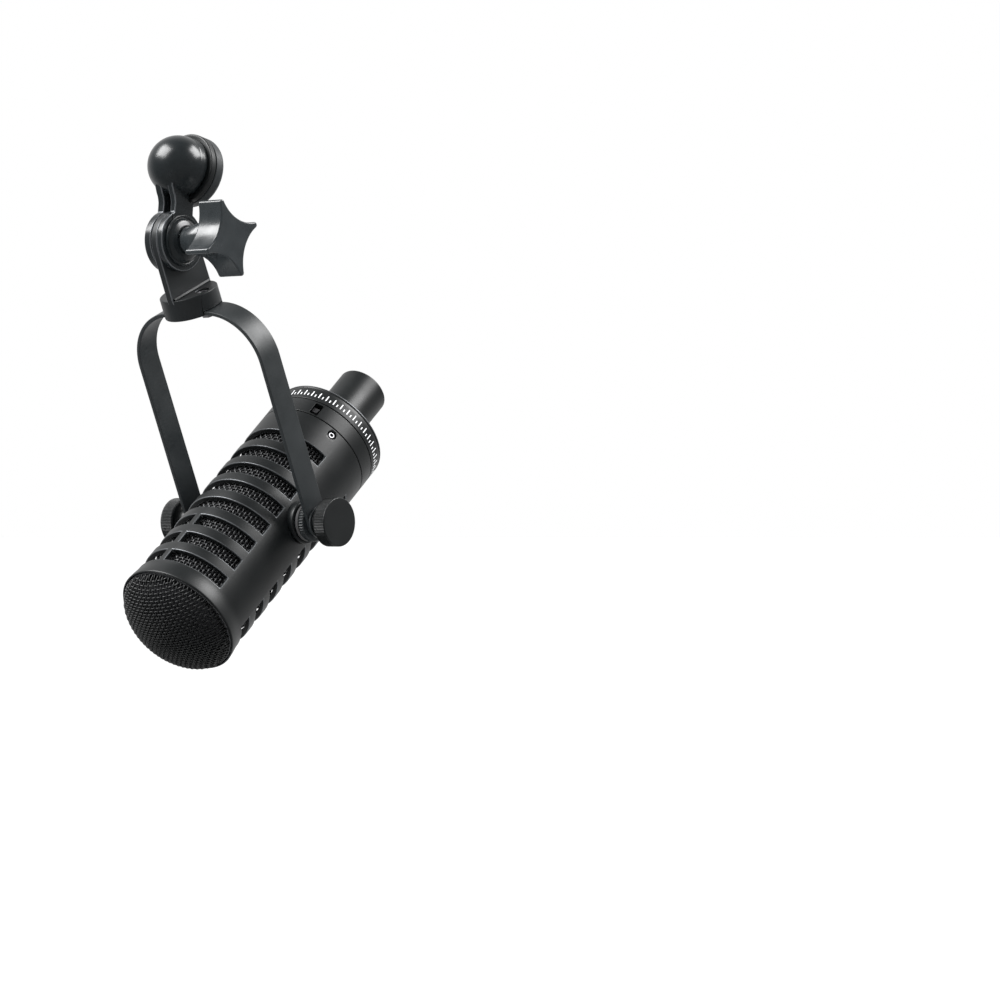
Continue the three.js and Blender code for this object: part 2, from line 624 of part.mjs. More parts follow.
function thumbscrew(side) {
  const [collarStart, headStart] = THUMB_COLLAR;
  return onSide([
    [0, THUMB_SHANK_START], [THUMB_SHANK_R, THUMB_SHANK_START], [THUMB_SHANK_R, collarStart],
    [THUMB_COLLAR_R, collarStart], [THUMB_COLLAR_R, headStart], [THUMB_HEAD_R - 0.8, headStart],
    [THUMB_HEAD_R, headStart + 0.8], [THUMB_HEAD_R, THUMB_HEAD_END - 1],
    [THUMB_HEAD_R - 0.3, THUMB_HEAD_END - 0.4], [THUMB_HEAD_R - 1, THUMB_HEAD_END], [0, THUMB_HEAD_END],
  ], side, MEDIUM_ROUND);
}

// ---- Assembly

const finish = (color, roughness, metalness) => ({ color, roughness, metalness });
const SATIN_BLACK = finish(0x17181a, 0.42, 0.3);
const MATTE_BLACK = finish(0x1c1d1f, 0.6, 0.1);
const GLOSS_BLACK = finish(0x0e0f11, 0.2, 0);
const MESH_BLACK = finish(0x0c0d0e, 0.5, 0.5);
const RUBBER = finish(0x141414, 0.85, 0);
const STEEL = finish(0xb4b6ba, 0.3, 1);
const BRASS = finish(0xc2a35a, 0.35, 1);
const COPPER = finish(0x9c5a36, 0.4, 1);
const BOARD = finish(0x1d4a2c, 0.5, 0);
const FOAM = finish(0x202022, 0.95, 0);

function addPiece(group, name, geometry, look) {
  const mesh = new THREE.Mesh(geometry, new THREE.MeshStandardMaterial(look));
  mesh.name = name;
  group.add(mesh);
}

function addGroup(parent, position, tilt) {
  const group = new THREE.Group();
  group.position.set(...position);
  group.rotation.x = radians(tilt);
  parent.add(group);
  return group;
}

const microphone = new THREE.Group();

const boomFrame = addGroup(microphone, [0, 0, 0], -BOOM_FALL);
addPiece(boomFrame, 'boom_hub', boomHub(), MATTE_BLACK);
addPiece(boomFrame, 'thread_insert', threadInsert(), BRASS);
addPiece(boomFrame, 'retaining_clip', retainingClip(), STEEL);
addPiece(boomFrame, 'ball_housing', ballHousing(), GLOSS_BLACK);
addPiece(boomFrame, 'lock_ring', lockRing(), SATIN_BLACK);

const hinge = addGroup(boomFrame, [0, BALL_Y + HINGE_OFFSET[0], HINGE_OFFSET[1]], 0);
addPiece(hinge, 'hinge_bolt', hingeBolt(), STEEL);
addPiece(hinge, 'dished_washer', dishedWasher(), SATIN_BLACK);

const yoke = addGroup(hinge, [0, 0, 0], BOOM_FALL + YOKE_LEAN);
addPiece(yoke, 'yoke_base', yokeBase(), MATTE_BLACK);
addPiece(yoke, 'pivot_bush', pivotBush(), RUBBER);
addPiece(yoke, 'yoke_bracket', yokeBracket(), MATTE_BLACK);
[[1, -YOKE_SCREW_X], [2, YOKE_SCREW_X]].forEach(([number, x]) => {
  addPiece(yoke, `yoke_screw_${number}`, yokeScrew(x), STEEL);
  addPiece(yoke, `yoke_nut_${number}`, yokeNut(x), STEEL);
});

const knob = addGroup(hinge, [0, 0, 0], BOOM_FALL);
addPiece(knob, 'star_knob', starKnob(), GLOSS_BLACK);
addPiece(knob, 'knob_insert', knobInsert(), BRASS);

const body = addGroup(yoke, [0, 0, PIVOT_Z], MIC_TILT - YOKE_LEAN);
addPiece(body, 'barrel', barrel(), SATIN_BLACK);
addPiece(body, 'front_grille', frontGrille(), MESH_BLACK);
addPiece(body, 'grille_clamp_ring', grilleClampRing(), STEEL);
addPiece(body, 'mesh_sleeve', meshSleeve(), MESH_BLACK);
addPiece(body, 'cloth_liner', clothLiner(), FOAM);
addPiece(body, 'foam_windscreen', foamWindscreen(), FOAM);
SET_SCREW_ANGLES.forEach((angle, i) => addPiece(body, `set_screw_${i + 1}`, setScrew(angle), STEEL));
addPiece(body, 'rear_housing', rearHousing(), SATIN_BLACK);
addPiece(body, 'switch_body', switchBody(), MATTE_BLACK);
addPiece(body, 'switch_slider', switchSlider(), MATTE_BLACK);
addPiece(body, 'circuit_board', circuitBoard(), BOARD);
addPiece(body, 'transformer', transformer(), COPPER);
addPiece(body, 'tail_cap', tailCap(), SATIN_BLACK);
addPiece(body, 'xlr_sleeve', xlrSleeve(), SATIN_BLACK);
addPiece(body, 'xlr_insert', xlrInsert(), MATTE_BLACK);
XLR_PIN_ANGLES.forEach((angle, i) => addPiece(body, `xlr_pin_${i + 1}`, xlrPin(angle), BRASS));
addPiece(body, 'capsule_housing', capsuleHousing(), STEEL);
addPiece(body, 'capsule_front_cap', capsuleFrontCap(), STEEL);
addPiece(body, 'diaphragm', diaphragm(), FOAM);
addPiece(body, 'voice_coil', voiceCoil(), COPPER);
addPiece(body, 'top_plate', topPlate(), STEEL);
addPiece(body, 'magnet', magnet(), STEEL);
addPiece(body, 'magnet_cup', magnetCup(), STEEL);
addPiece(body, 'shock_mount_front', shockMount(-54), RUBBER);
addPiece(body, 'shock_mount_rear', shockMount(-33), RUBBER);
[['left', -1], ['right', 1]].forEach(([word, side]) => {
  addPiece(body, `pivot_pad_${word}`, pivotPad(side), RUBBER);
  addPiece(body, `lock_washer_${word}`, lockWasher(side), STEEL);
  addPiece(body, `thumb_washer_${word}`, thumbWasher(side), MATTE_BLACK);
  addPiece(body, `thumbscrew_${word}`, thumbscrew(side), SATIN_BLACK);
});

export default microphone;
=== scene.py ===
import json
import math

import bmesh
import bpy
import numpy as np
from mathutils import Matrix, Vector


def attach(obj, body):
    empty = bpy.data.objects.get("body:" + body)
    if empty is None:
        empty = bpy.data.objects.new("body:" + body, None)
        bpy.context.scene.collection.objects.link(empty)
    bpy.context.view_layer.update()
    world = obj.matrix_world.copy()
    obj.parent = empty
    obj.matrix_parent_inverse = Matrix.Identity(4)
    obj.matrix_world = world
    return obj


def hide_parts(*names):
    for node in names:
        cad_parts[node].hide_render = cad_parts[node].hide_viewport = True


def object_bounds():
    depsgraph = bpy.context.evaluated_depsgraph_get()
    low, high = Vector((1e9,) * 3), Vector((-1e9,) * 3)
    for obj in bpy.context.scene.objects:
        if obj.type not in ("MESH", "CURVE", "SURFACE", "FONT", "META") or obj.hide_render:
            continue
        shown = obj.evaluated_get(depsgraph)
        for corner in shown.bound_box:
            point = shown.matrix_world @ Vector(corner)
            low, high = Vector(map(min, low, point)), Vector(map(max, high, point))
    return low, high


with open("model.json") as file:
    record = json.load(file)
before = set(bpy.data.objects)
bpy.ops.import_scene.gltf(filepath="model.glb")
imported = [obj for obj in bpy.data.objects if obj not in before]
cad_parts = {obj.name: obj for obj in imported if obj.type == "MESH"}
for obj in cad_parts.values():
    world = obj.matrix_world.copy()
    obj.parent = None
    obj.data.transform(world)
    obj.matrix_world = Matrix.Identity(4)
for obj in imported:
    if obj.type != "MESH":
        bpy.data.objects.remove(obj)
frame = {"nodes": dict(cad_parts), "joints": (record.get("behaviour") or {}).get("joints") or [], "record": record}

# A dynamic broadcast microphone in its yoke, with the swivel that holds it on a boom.
# The frame gives the bodies, their joints and the hidden inner parts. Everything that shows is built here,
# in the local frame of the assembly it belongs to, with lengths in millimetres until the mesh is made.

MM = 0.001
TURN = 2 * math.pi
SIDES = (("left", -1), ("right", 1))

# ---- Swivel: along the boom's axis, with 0 at the hub's rear face
FLANGE_R = 17.3
HUB_LENGTH = 5.6
HUB_NECK_R = 11.4
HUB_NECK_END = -14.5
INSERT_R = 9.2
THREAD_MAJOR_R = 7.94
THREAD_DEPTH = 0.55
THREAD_PITCH = 25.4 / 27
CLIP_GROOVE = (-13.9, -12.5)
CLIP_GROOVE_R = 10.6
LOCK_RING = (-9.3, -5.9)
BALL_Y = -14.2
BALL_R = 14.7
BALL_RIM_R = 14.9
BALL_RIM_Y = -9.6
SOCKET_R = 12.7
SOCKET_END = -15.5
GAP = 0.3

# ---- Hinge between the swivel and the yoke
CHEEKS = ((-5.6, -1.6), (2.6, 5.8))
CHEEK_R = 14.6
NECK_HALF_WIDTH = 6.45
# (distance from the ball's centre, half width) of an ear
EAR_WIDTHS = ((6, 9.8), (11, 9.4), (14, 8.2), (16, 7.1), (18.5, NECK_HALF_WIDTH), (20.5, NECK_HALF_WIDTH))
TONGUE = (-1.3, 2.3)
TONGUE_R = 14.4
TONGUE_FOOT = 14.8
BOLT_R = 3.0
BOLT_HEAD = (-9.9, -5.9)
BOLT_HEAD_R = 5.8
BOLT_END = 21.5
TONGUE_BORE_R = 5.0
DISH_R = 12.2
HINGE_BORE_R = 3.3

# ---- Star knob
KNOB_HUB_START = 9.7
KNOB_BACK = 23.4
KNOB_FRONT = 37.9
KNOB_TIP_R = 19.2
KNOB_TIP_ROUND = 1.45
KNOB_WAIST_R = 10.15
KNOB_TURN = 23.4

# ---- Yoke: down from the hinge
DISC_R = 14.4
CHANNEL_ROOF = -33.9
DISC_TOP = -25.6
YOKE_SCREW_X = 9.0
SCREW_R = 1.9
SCREW_BORE_R = 2.2
SCREW_HEAD_R = 3.0
SCREW_HEAD_HEIGHT = 2.2
COUNTERBORE_R = 3.4
COUNTERBORE_DEPTH = 3.2
NUT_R = 3.6
NUT_BORE_R = 2.1
NUT_HEIGHT = 2.2
YOKE_TOP = -34.2
YOKE_HALF_SPAN = 40.1
YOKE_BEND_R = 27.8
STRAP_WIDTH = 13.7
STRAP_THICKNESS = 2.0
YOKE_HEIGHT = 113.4
PIVOT_Z = YOKE_TOP - YOKE_HEIGHT

# ---- Microphone: along its own axis, with 0 at the pivots
BARREL_R = 30.0
BARREL_BORE_R = 27.4
BARREL_FRONT = -74.5
BARREL_REAR = 51.9
FLARE = 0.9
FLARE_START = -65.0
GRILLE_SEAT_R = 30.1
GRILLE_SEAT_END = -70.5
SLOT_ROWS = 8
SPLIT_ROWS = 3
SLOT_START = -64.3
SLOT_PITCH = 13.25
SLOT_WIDTH = 7.5
SLOT_END_ANGLE = 66
RIB_HALF_ANGLE = 3
BOSS_R = 10.7
BOSS_X = 32.5
PIVOT_HOLE_R = 3.4
SET_SCREW_Y = 48.4
SET_SCREW_ANGLES = (58, 178, 298)
GRILLE_R = 29.75
GRILLE_HEIGHT = 15.4
GRILLE_POWER = 1.17
SLEEVE_R = 26.08
LINER = (24.8, 25.0)
SLEEVE = (-67.0, 43.2)
SLEEVE_PITCH = 1.8
REAR_HOUSING = (52.2, 61.3)
REAR_SPIGOT_R = 27.1
REAR_SPIGOT_START = 44.0
REAR_BORE_R = 24.5
REAR_NECK_R = 26.2
REAR_NECK_END = 65.5
TAIL_CAP = (61.6, 71.3)
TAIL_CAP_BORE_R = 26.5
TAIL_CAP_HOLE_R = 13.4
TAIL_PLATE = 2.8
MARK_BAND = (64.0, 65.6, 67.4)
MARK_COLUMNS = 360
SWITCH_ANGLE = 30.5
SWITCH_Y = 56.7
SWITCH_SLOT = (4.4, 7.0)
XLR_R = 13.1
XLR_BORE_R = 8.2
XLR_END = 106.0
XLR_FLANGE = (65.0, 68.2)
XLR_FLANGE_R = 17.5
XLR_INSERT = (82.0, 88.0)
XLR_INSERT_R = 7.9
XLR_PIN = (80.0, 102.0)
XLR_PIN_R = 1.2
XLR_PIN_CIRCLE_R = 4.6
XLR_PIN_ANGLES = (-50, 50, 180)

# ---- Pivot stack, outward from the boss
PAD = (32.8, 34.6)
PAD_R = 9.4
LOCK_WASHER = (34.9, 37.8)
LOCK_WASHER_R = 9.65
LOCK_WASHER_TEETH = 44
THUMB_WASHER = (40.4, 41.4)
THUMB_WASHER_R = 7.9
THUMB_SHANK_START = 28
THUMB_SHANK_R = 3
THUMB_COLLAR = (41.7, 46.0)
THUMB_COLLAR_R = 7.2
THUMB_RIBS = 96
SEGMENTS_PER_RIB = 6
THUMB_HEAD_END = 53.4
THUMB_HEAD_R = 11.9

# ---- Camera: (right, up, back) of the pivots in metres, and angles in degrees
CAMERA_AZIMUTH = 37.6
CAMERA_ELEVATION = -0.2
CAMERA_OFFSET = (0.1198, 0.0108, 1.8538)
CAMERA_LENS = 135.6
SENSOR_WIDTH = 36
FLOOR_DROP = 0.34
FLOOR_R = 60.0

# ---- Materials: the middle range of a noise pattern, where most of its values lie
NOISE_LOW = 0.3
NOISE_HIGH = 0.7

# ---- Local frames
JOINTS = {joint["name"]: joint for joint in frame["joints"]}
HINGE = Vector(JOINTS["yoke_tilt"]["pos_m"])
PIVOT = Vector(JOINTS["mic_tilt"]["pos_m"])
BOOM_AXIS = Vector(JOINTS["swivel_turn"]["axis"])
MIC_AXIS = Vector(JOINTS["switch_slide"]["axis"])


def local_frame(origin, y_axis):
    """The matrix of a frame whose X is the row's X, and whose Y is the given direction."""
    x = Vector((1, 0, 0))
    y = y_axis.normalized()
    matrix = Matrix((x, y, x.cross(y))).transposed().to_4x4()
    matrix.translation = origin
    return matrix


HUB_FRAME = local_frame(Vector((0, 0, 0)), BOOM_AXIS)
YOKE_FRAME = local_frame(HINGE, (HINGE - PIVOT).cross(Vector((1, 0, 0))))
KNOB_FRAME = local_frame(HINGE, Vector((0, 1, 0)))
MIC_FRAME = local_frame(PIVOT, MIC_AXIS)

cad_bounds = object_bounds()


# ---- Outlines: lists of points in a plane


def sin_cos(degrees):
    return math.sin(math.radians(degrees)), math.cos(math.radians(degrees))


def filleted(corners, steps=5):
    """Corners are (x, y) or (x, y, radius). Each corner with a radius becomes an arc."""
    points = []
    count = len(corners)
    for i, corner in enumerate(corners):
        radius = corner[2] if len(corner) > 2 else 0
        here = np.array(corner[:2], float)
        if not radius:
            points.append(tuple(here))
            continue
        before = np.array(corners[i - 1][:2], float) - here
        after = np.array(corners[(i + 1) % count][:2], float) - here
        reach = min(np.linalg.norm(before), np.linalg.norm(after)) * 0.49
        before /= np.linalg.norm(before)
        after /= np.linalg.norm(after)
        half = math.acos(float(np.clip(before @ after, -1, 1))) / 2
        length = min(radius / math.tan(half), reach)
        radius = length * math.tan(half)
        middle = (before + after) / np.linalg.norm(before + after)
        centre = here + middle * radius / math.sin(half)
        start = here + before * length - centre
        end = here + after * length - centre
        sweep = math.pi - 2 * half
        for step in range(steps + 1):
            t = step / steps
            a = math.sin((1 - t) * sweep) / math.sin(sweep)
            b = math.sin(t * sweep) / math.sin(sweep)
            points.append(tuple(centre + a * start + b * end))
    return points


def arc(centre, radius, start, end, steps):
    """Points of an arc in degrees, both ends included."""
    angles = np.radians(np.linspace(start, end, steps + 1))
    return [(centre[0] + radius * math.cos(a), centre[1] + radius * math.sin(a)) for a in angles]


def hexagon(radius, turn=0):
    return arc((0, 0), radius, turn, turn + 300, 5)


# ---- Meshes: (vertices, faces) in millimetres


def skin(rings, closed=False):
    """The faces that join each ring of vertex numbers to the next. A face leaves out a repeated number."""
    faces = []
    for low, high in zip(rings, rings[1:] + (rings[:1] if closed else [])):
        for i in range(len(low)):
            j = (i + 1) % len(low)
            corners = [low[i], low[j], high[j], high[i]]
            face = [v for n, v in enumerate(corners) if v != corners[n - 1]]
            if len(face) > 2:
                faces.append(tuple(face))
    return faces


def merged(*meshes):
    vertices, faces = [], []
    for more_vertices, more_faces in meshes:
        offset = len(vertices)
        vertices += list(more_vertices)
        faces += [tuple(v + offset for v in face) for face in more_faces]
    return vertices, faces


def mapped(mesh, change):
    """The same mesh with each vertex moved by a function of (x, y, z)."""
    vertices, faces = mesh
    return [change(*vertex) for vertex in vertices], faces


def moved(mesh, x, z=0):
    return mapped(mesh, lambda a, b, c: (a + x, b, c + z))


def revolved(profile, segments=96, ripple=None):
    """A profile of (radius, height) points turned about the local Y axis.

    One that starts and ends on the axis is capped there, and any other is closed on itself. ripple changes
    a point's radius by its height and angle.
    """
    vertices, rows = [], []
    for radius, height in profile:
        if radius < 1e-6:
            rows.append([len(vertices)] * segments)
            vertices.append((0.0, height, 0.0))
            continue
        rows.append(list(range(len(vertices), len(vertices) + segments)))
        for i in range(segments):
            angle = TURN * i / segments
            r = ripple(radius, height, angle) if ripple else radius
            vertices.append((r * math.sin(angle), height, r * math.cos(angle)))
    on_axis = profile[0][0] < 1e-6 and profile[-1][0] < 1e-6
    return vertices, skin(rows, closed=not on_axis)


def soft_ring(inner, outer, span, rounding, segments):
    """A ring about the local Y axis, rounded along its two outer edges."""
    low, high = span
    return revolved(filleted([(inner, low), (outer, low, rounding), (outer, high, rounding), (inner, high)]),
                    segments)


def along_x(mesh, side=1):
    """Turns a mesh about local Y into one about local X, on the +X side or the other."""
    return mapped(mesh, lambda x, y, z: (side * y, x, z))


def along_z(mesh):
    return mapped(mesh, lambda x, y, z: (x, z, y))


def prism(outline, span):
    """An outline in (y, z), extruded along X."""
    count = len(outline)
    vertices = [(x, y, z) for x in span for y, z in outline]
    ends = [tuple(range(count)), tuple(range(count, 2 * count))]
    return vertices, ends + skin(ends)


def hex_bar(radius, span):
    """A six-sided bar along Z."""
    return mapped(prism(hexagon(radius), span), lambda x, y, z: (y, z, x))


def round_bar(centre, radius, span):
    """A plain cutting bar along X through (y, z)."""
    segments = 32
    return prism(arc(centre, radius, 0, 360 - 360 / segments, segments - 1), span)


def around(mesh, angle, y):
    """Turns a mesh that stands on the top of the barrel round its axis, from +Z towards +X."""
    s, c = sin_cos(angle)
    return mapped(mesh, lambda a, b, h: (a * c + h * s, b + y, -a * s + h * c))


# ---- Objects


def new_object(name, mesh, matrix):
    vertices, faces = mesh
    data = bpy.data.meshes.new(name)
    data.from_pydata([tuple(MM * value for value in vertex) for vertex in vertices], [], faces)
    clean = bmesh.new()
    clean.from_mesh(data)
    bmesh.ops.recalc_face_normals(clean, faces=clean.faces)
    clean.to_mesh(data)
    clean.free()
    obj = bpy.data.objects.new(name, data)
    bpy.context.scene.collection.objects.link(obj)
    obj.matrix_world = matrix
    return obj


def carve(obj, *tools):
    """Cuts tool meshes, given in the object's own frame, out of it."""
    cutters = []
    for number, tool in enumerate(tools):
        cutter = new_object(f"{obj.name}_cutter_{number}", tool, obj.matrix_world)
        cutters.append(cutter)
        modifier = obj.modifiers.new("Cut", "BOOLEAN")
        modifier.object = cutter
        modifier.operation = "DIFFERENCE"
        modifier.solver = "EXACT"
    bpy.context.view_layer.update()
    depsgraph = bpy.context.evaluated_depsgraph_get()
    result = bpy.data.meshes.new_from_object(obj.evaluated_get(depsgraph))
    obj.modifiers.clear()
    obj.data = result
    for cutter in cutters:
        bpy.data.objects.remove(cutter)


def soften(obj, width, segments=3, angle=35):
    """Rounds an object's sharp edges. With a second material, the rounded edges take it."""
    bevel = obj.modifiers.new("Edges", "BEVEL")
    bevel.width = width * MM
    bevel.segments = segments
    bevel.limit_method = "ANGLE"
    bevel.angle_limit = math.radians(angle)
    bevel.use_clamp_overlap = len(obj.data.materials) < 2
    bevel.material = len(obj.data.materials) - 1


def paint_edge_highlights(obj, material, width, segments=3, angle=50):
    """Rounds an object's sharp edges, and paints them lighter and more metallic than the rest: a painted highlight
    along the edges.
    """
    obj.data.materials.append(material)
    obj.data.materials.append(EDGE_HIGHLIGHT_PAINT)
    soften(obj, width, segments, angle)


def add_piece(obj, body, slot, *nodes):
    """Shades an object, gives it its material and its body, and hides the CAD nodes that it stands for."""
    obj.data.shade_smooth()
    normals = obj.modifiers.new("Even shading", "WEIGHTED_NORMAL")
    normals.keep_sharp = True
    if not obj.data.materials:
        obj.data.materials.append(MATERIALS[slot])
    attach(obj, body)
    if nodes:
        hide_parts(*nodes)


def place(name, mesh, matrix, body, slot, *nodes):
    """A piece that needs no cutting or softening."""
    add_piece(new_object(name, mesh, matrix), body, slot, *nodes)


# ---- Materials: each pattern is in the object's own frame, so it keeps its scale in millimetres


def set_inputs(node, **values):
    """Sets a node's inputs. An underscore stands for the space in an input's name."""
    for name, value in values.items():
        node.inputs[name.replace("_", " ")].default_value = value


class Nodes:
    """A short way to add and link a material's nodes."""

    def __init__(self, name):
        self.material = bpy.data.materials.new(name)
        self.material.use_nodes = True
        self.tree = self.material.node_tree
        self.shader = self.tree.nodes["Principled BSDF"]
        self.coordinates = self.add("ShaderNodeTexCoord").outputs["Object"]

    def add(self, kind, **values):
        node = self.tree.nodes.new(kind)
        for key, value in values.items():
            setattr(node, key, value)
        return node

    def link(self, start, end):
        self.tree.links.new(start, end)

    def noise(self, size_mm, detail):
        """Noise whose features are about size_mm across."""
        noise = self.add("ShaderNodeTexNoise")
        set_inputs(noise, Scale=1 / (size_mm * MM), Detail=detail)
        self.link(self.coordinates, noise.inputs["Vector"])
        return noise.outputs["Fac"]

    def ranged(self, value, low, high):
        """A noise pattern, spread over low to high."""
        node = self.add("ShaderNodeMapRange")
        set_inputs(node, From_Min=NOISE_LOW, From_Max=NOISE_HIGH, To_Min=low, To_Max=high)
        self.link(value, node.inputs["Value"])
        return node.outputs["Result"]

    def mixed(self, factor, first, second):
        node = self.add("ShaderNodeMix", data_type="RGBA")
        self.link(factor, node.inputs["Factor"])
        for socket, colour in (("A", first), ("B", second)):
            target = [s for s in node.inputs if s.name == socket and s.type == "RGBA"][0]
            if isinstance(colour, tuple):
                target.default_value = (*colour, 1)
            else:
                self.link(colour, target)
        return [s for s in node.outputs if s.type == "RGBA"][0]

    def bump(self, height, distance_mm):
        node = self.add("ShaderNodeBump")
        set_inputs(node, Strength=1.0, Distance=distance_mm * MM)
        self.link(height, node.inputs["Height"])
        return node.outputs["Normal"]


def lighter(colour, factor):
    return tuple(min(1.0, value * factor) for value in colour)


def finish(name, colour, roughness, grain_mm, grain_depth_mm, metallic=0.0, patch_mm=14, contrast=0.3,
           spread=0.06, coat=0.0, specular=0.5):
    """A coated, moulded or machined surface: fine grain in relief, and slow changes in tone and gloss."""
    nodes = Nodes(name)
    shader = nodes.shader
    set_inputs(shader, Metallic=metallic, Coat_Weight=coat, Coat_Roughness=roughness * 0.5,
               Specular_IOR_Level=specular)
    patches = nodes.noise(patch_mm, detail=4)
    grain = nodes.noise(grain_mm, detail=2)
    tone = nodes.mixed(nodes.ranged(patches, 0, 1), lighter(colour, 1 - contrast / 2),
                       lighter(colour, 1 + contrast / 2))
    speckled = nodes.mixed(nodes.ranged(grain, 0, 0.5), tone, lighter(colour, 1 + contrast))
    nodes.link(speckled, shader.inputs["Base Color"])
    nodes.link(nodes.ranged(patches, roughness - spread, roughness + spread), shader.inputs["Roughness"])
    nodes.link(nodes.bump(grain, grain_depth_mm), shader.inputs["Normal"])
    return nodes.material


MATERIALS = {
    "satin_black": finish("satin_black_paint", (0.0028, 0.0038, 0.0042), 0.40, 0.45, 0.010, spread=0.04,
                          specular=0.36),
    "matte_black": finish("powder_coat", (0.0105, 0.0128, 0.0140), 0.42, 0.35, 0.03, contrast=0.35,
                          specular=0.4),
    "gloss_black": finish("gloss_black_enamel", (0.0062, 0.0078, 0.0086), 0.25, 1.6, 0.006, patch_mm=8,
                          spread=0.04, specular=0.42),
    "knob_plastic": finish("moulded_knob", (0.0140, 0.0165, 0.0180), 0.22, 0.8, 0.012, patch_mm=9),
    # The sleeve's wire paint is lighter than the dome's: a lit tone of the same wire, a painted highlight.
    "black_mesh": finish("wire_paint_lit_tone", (0.017, 0.018, 0.020), 0.44, 0.25, 0.01, specular=0.8),
    "rubber": finish("rubber", (0.022, 0.022, 0.023), 0.75, 0.3, 0.03, contrast=0.4),
    "steel": finish("machined_steel", (0.52, 0.52, 0.54), 0.3, 0.3, 0.01, metallic=1.0),
    "brass": finish("machined_brass", (0.62, 0.46, 0.2), 0.3, 0.3, 0.01, metallic=1.0),
    "magnet_iron": finish("magnet", (0.22, 0.22, 0.23), 0.5, 0.5, 0.03, metallic=0.8),
    "copper_wire": finish("wound_copper", (0.45, 0.2, 0.1), 0.4, 0.3, 0.04, metallic=1.0),
    "black_plastic": finish("black_plastic", (0.025, 0.025, 0.027), 0.5, 0.4, 0.02),
    "circuit_board": finish("laminate", (0.03, 0.13, 0.06), 0.4, 1.2, 0.02, contrast=0.5),
    "film": finish("diaphragm_film", (0.5, 0.47, 0.4), 0.25, 2.0, 0.02, coat=0.3),
    "foam_and_cloth": finish("foam", (0.012, 0.012, 0.014), 0.95, 0.9, 0.4, contrast=0.9, specular=0.2),
}
BASE_COAT = finish("base_coat", (0.0060, 0.0074, 0.0082), 0.42, 0.35, 0.03, contrast=0.35, specular=0.3)
DULL_STEEL = finish("dull_steel", (0.32, 0.32, 0.33), 0.42, 0.3, 0.01, metallic=1.0)
# The dome's wire paint is darker than the sleeve's: a shaded tone of the same wire, painted shade.
WIRE_PAINT_SHADED_TONE = finish("wire_paint_shaded_tone", (0.0030, 0.0038, 0.0042), 0.44, 0.25, 0.01, specular=0.5)
# The liner's cloth is darker than the foam: its own dark colour, made darker still as painted shade in the gaps
# between the wires.
LINER_CLOTH_PAINTED_SHADE = finish("liner_cloth_painted_shade", (0.006, 0.006, 0.007), 0.95, 0.5, 0.15, contrast=0.8, specular=0.1)
# Lighter, metallic paint for rounded edges: a painted highlight along sharp edges.
EDGE_HIGHLIGHT_PAINT = finish("painted_edge_highlight", (0.075, 0.079, 0.084), 0.34, 0.3, 0.02, metallic=0.6, contrast=0.7)
MARK_PAINT = finish("white_mark_paint", (0.62, 0.63, 0.64), 0.5, 0.3, 0.01, contrast=0.1)


def dress_cad_nodes():
    """The carried-over inner parts take the finish of their slot."""
    for part in frame["record"]["subparts"]:
        node = frame["nodes"][part["node"]]
        node.data.materials.clear()
        node.data.materials.append(MATERIALS[part["material_slot"]])


# ---- Microphone


def flared_radius(y):
    """The barrel's outer radius: straight, then opening gently to the front lip."""
    t = min(max((FLARE_START - y) / (FLARE_START - BARREL_FRONT), 0), 1)
    return BARREL_R + FLARE * t * t * (3 - 2 * t)


def barrel_rows():
    """(y, outer radius, inner radius) of each ring of the barrel, from front to rear."""
    lip = 0.75
    rows = []
    for angle in (0, 20, 40, 60, 78):
        s, c = sin_cos(angle)
        outer = flared_radius(BARREL_FRONT) - lip * (1 - c)
        rows.append((BARREL_FRONT + lip * (1 - s), outer, GRILLE_SEAT_R))
    rows.reverse()
    for y in (-73.0, -72.0, -71.2, GRILLE_SEAT_END):
        rows.append((y, flared_radius(y), GRILLE_SEAT_R))
    for y in (GRILLE_SEAT_END + 0.3, -69.0, -68.0, -67.0, -66.0, FLARE_START):
        rows.append((y, flared_radius(y), BARREL_BORE_R))
    for row in range(SLOT_ROWS):
        y = SLOT_START + row * SLOT_PITCH
        rows += [(y, BARREL_R, BARREL_BORE_R), (y + SLOT_WIDTH, BARREL_R, BARREL_BORE_R)]
    rows.append((45.0, BARREL_R, BARREL_BORE_R))
    rear = 0.4
    for angle in (0, 30, 60, 90):
        s, c = sin_cos(angle)
        rows.append((BARREL_REAR - rear * (1 - s), BARREL_R - rear * (1 - c), BARREL_BORE_R))
    return rows


def slot_at(y, angle):
    """True where the barrel is cut through. The angle is in degrees from the top, or from underneath."""
    row = math.floor((y - SLOT_START) / SLOT_PITCH)
    if not 0 <= row < SLOT_ROWS or y > SLOT_START + row * SLOT_PITCH + SLOT_WIDTH:
        return False
    from_middle = abs((angle + 90) % 180 - 90)
    return from_middle < SLOT_END_ANGLE and (row >= SPLIT_ROWS or from_middle > RIB_HALF_ANGLE)


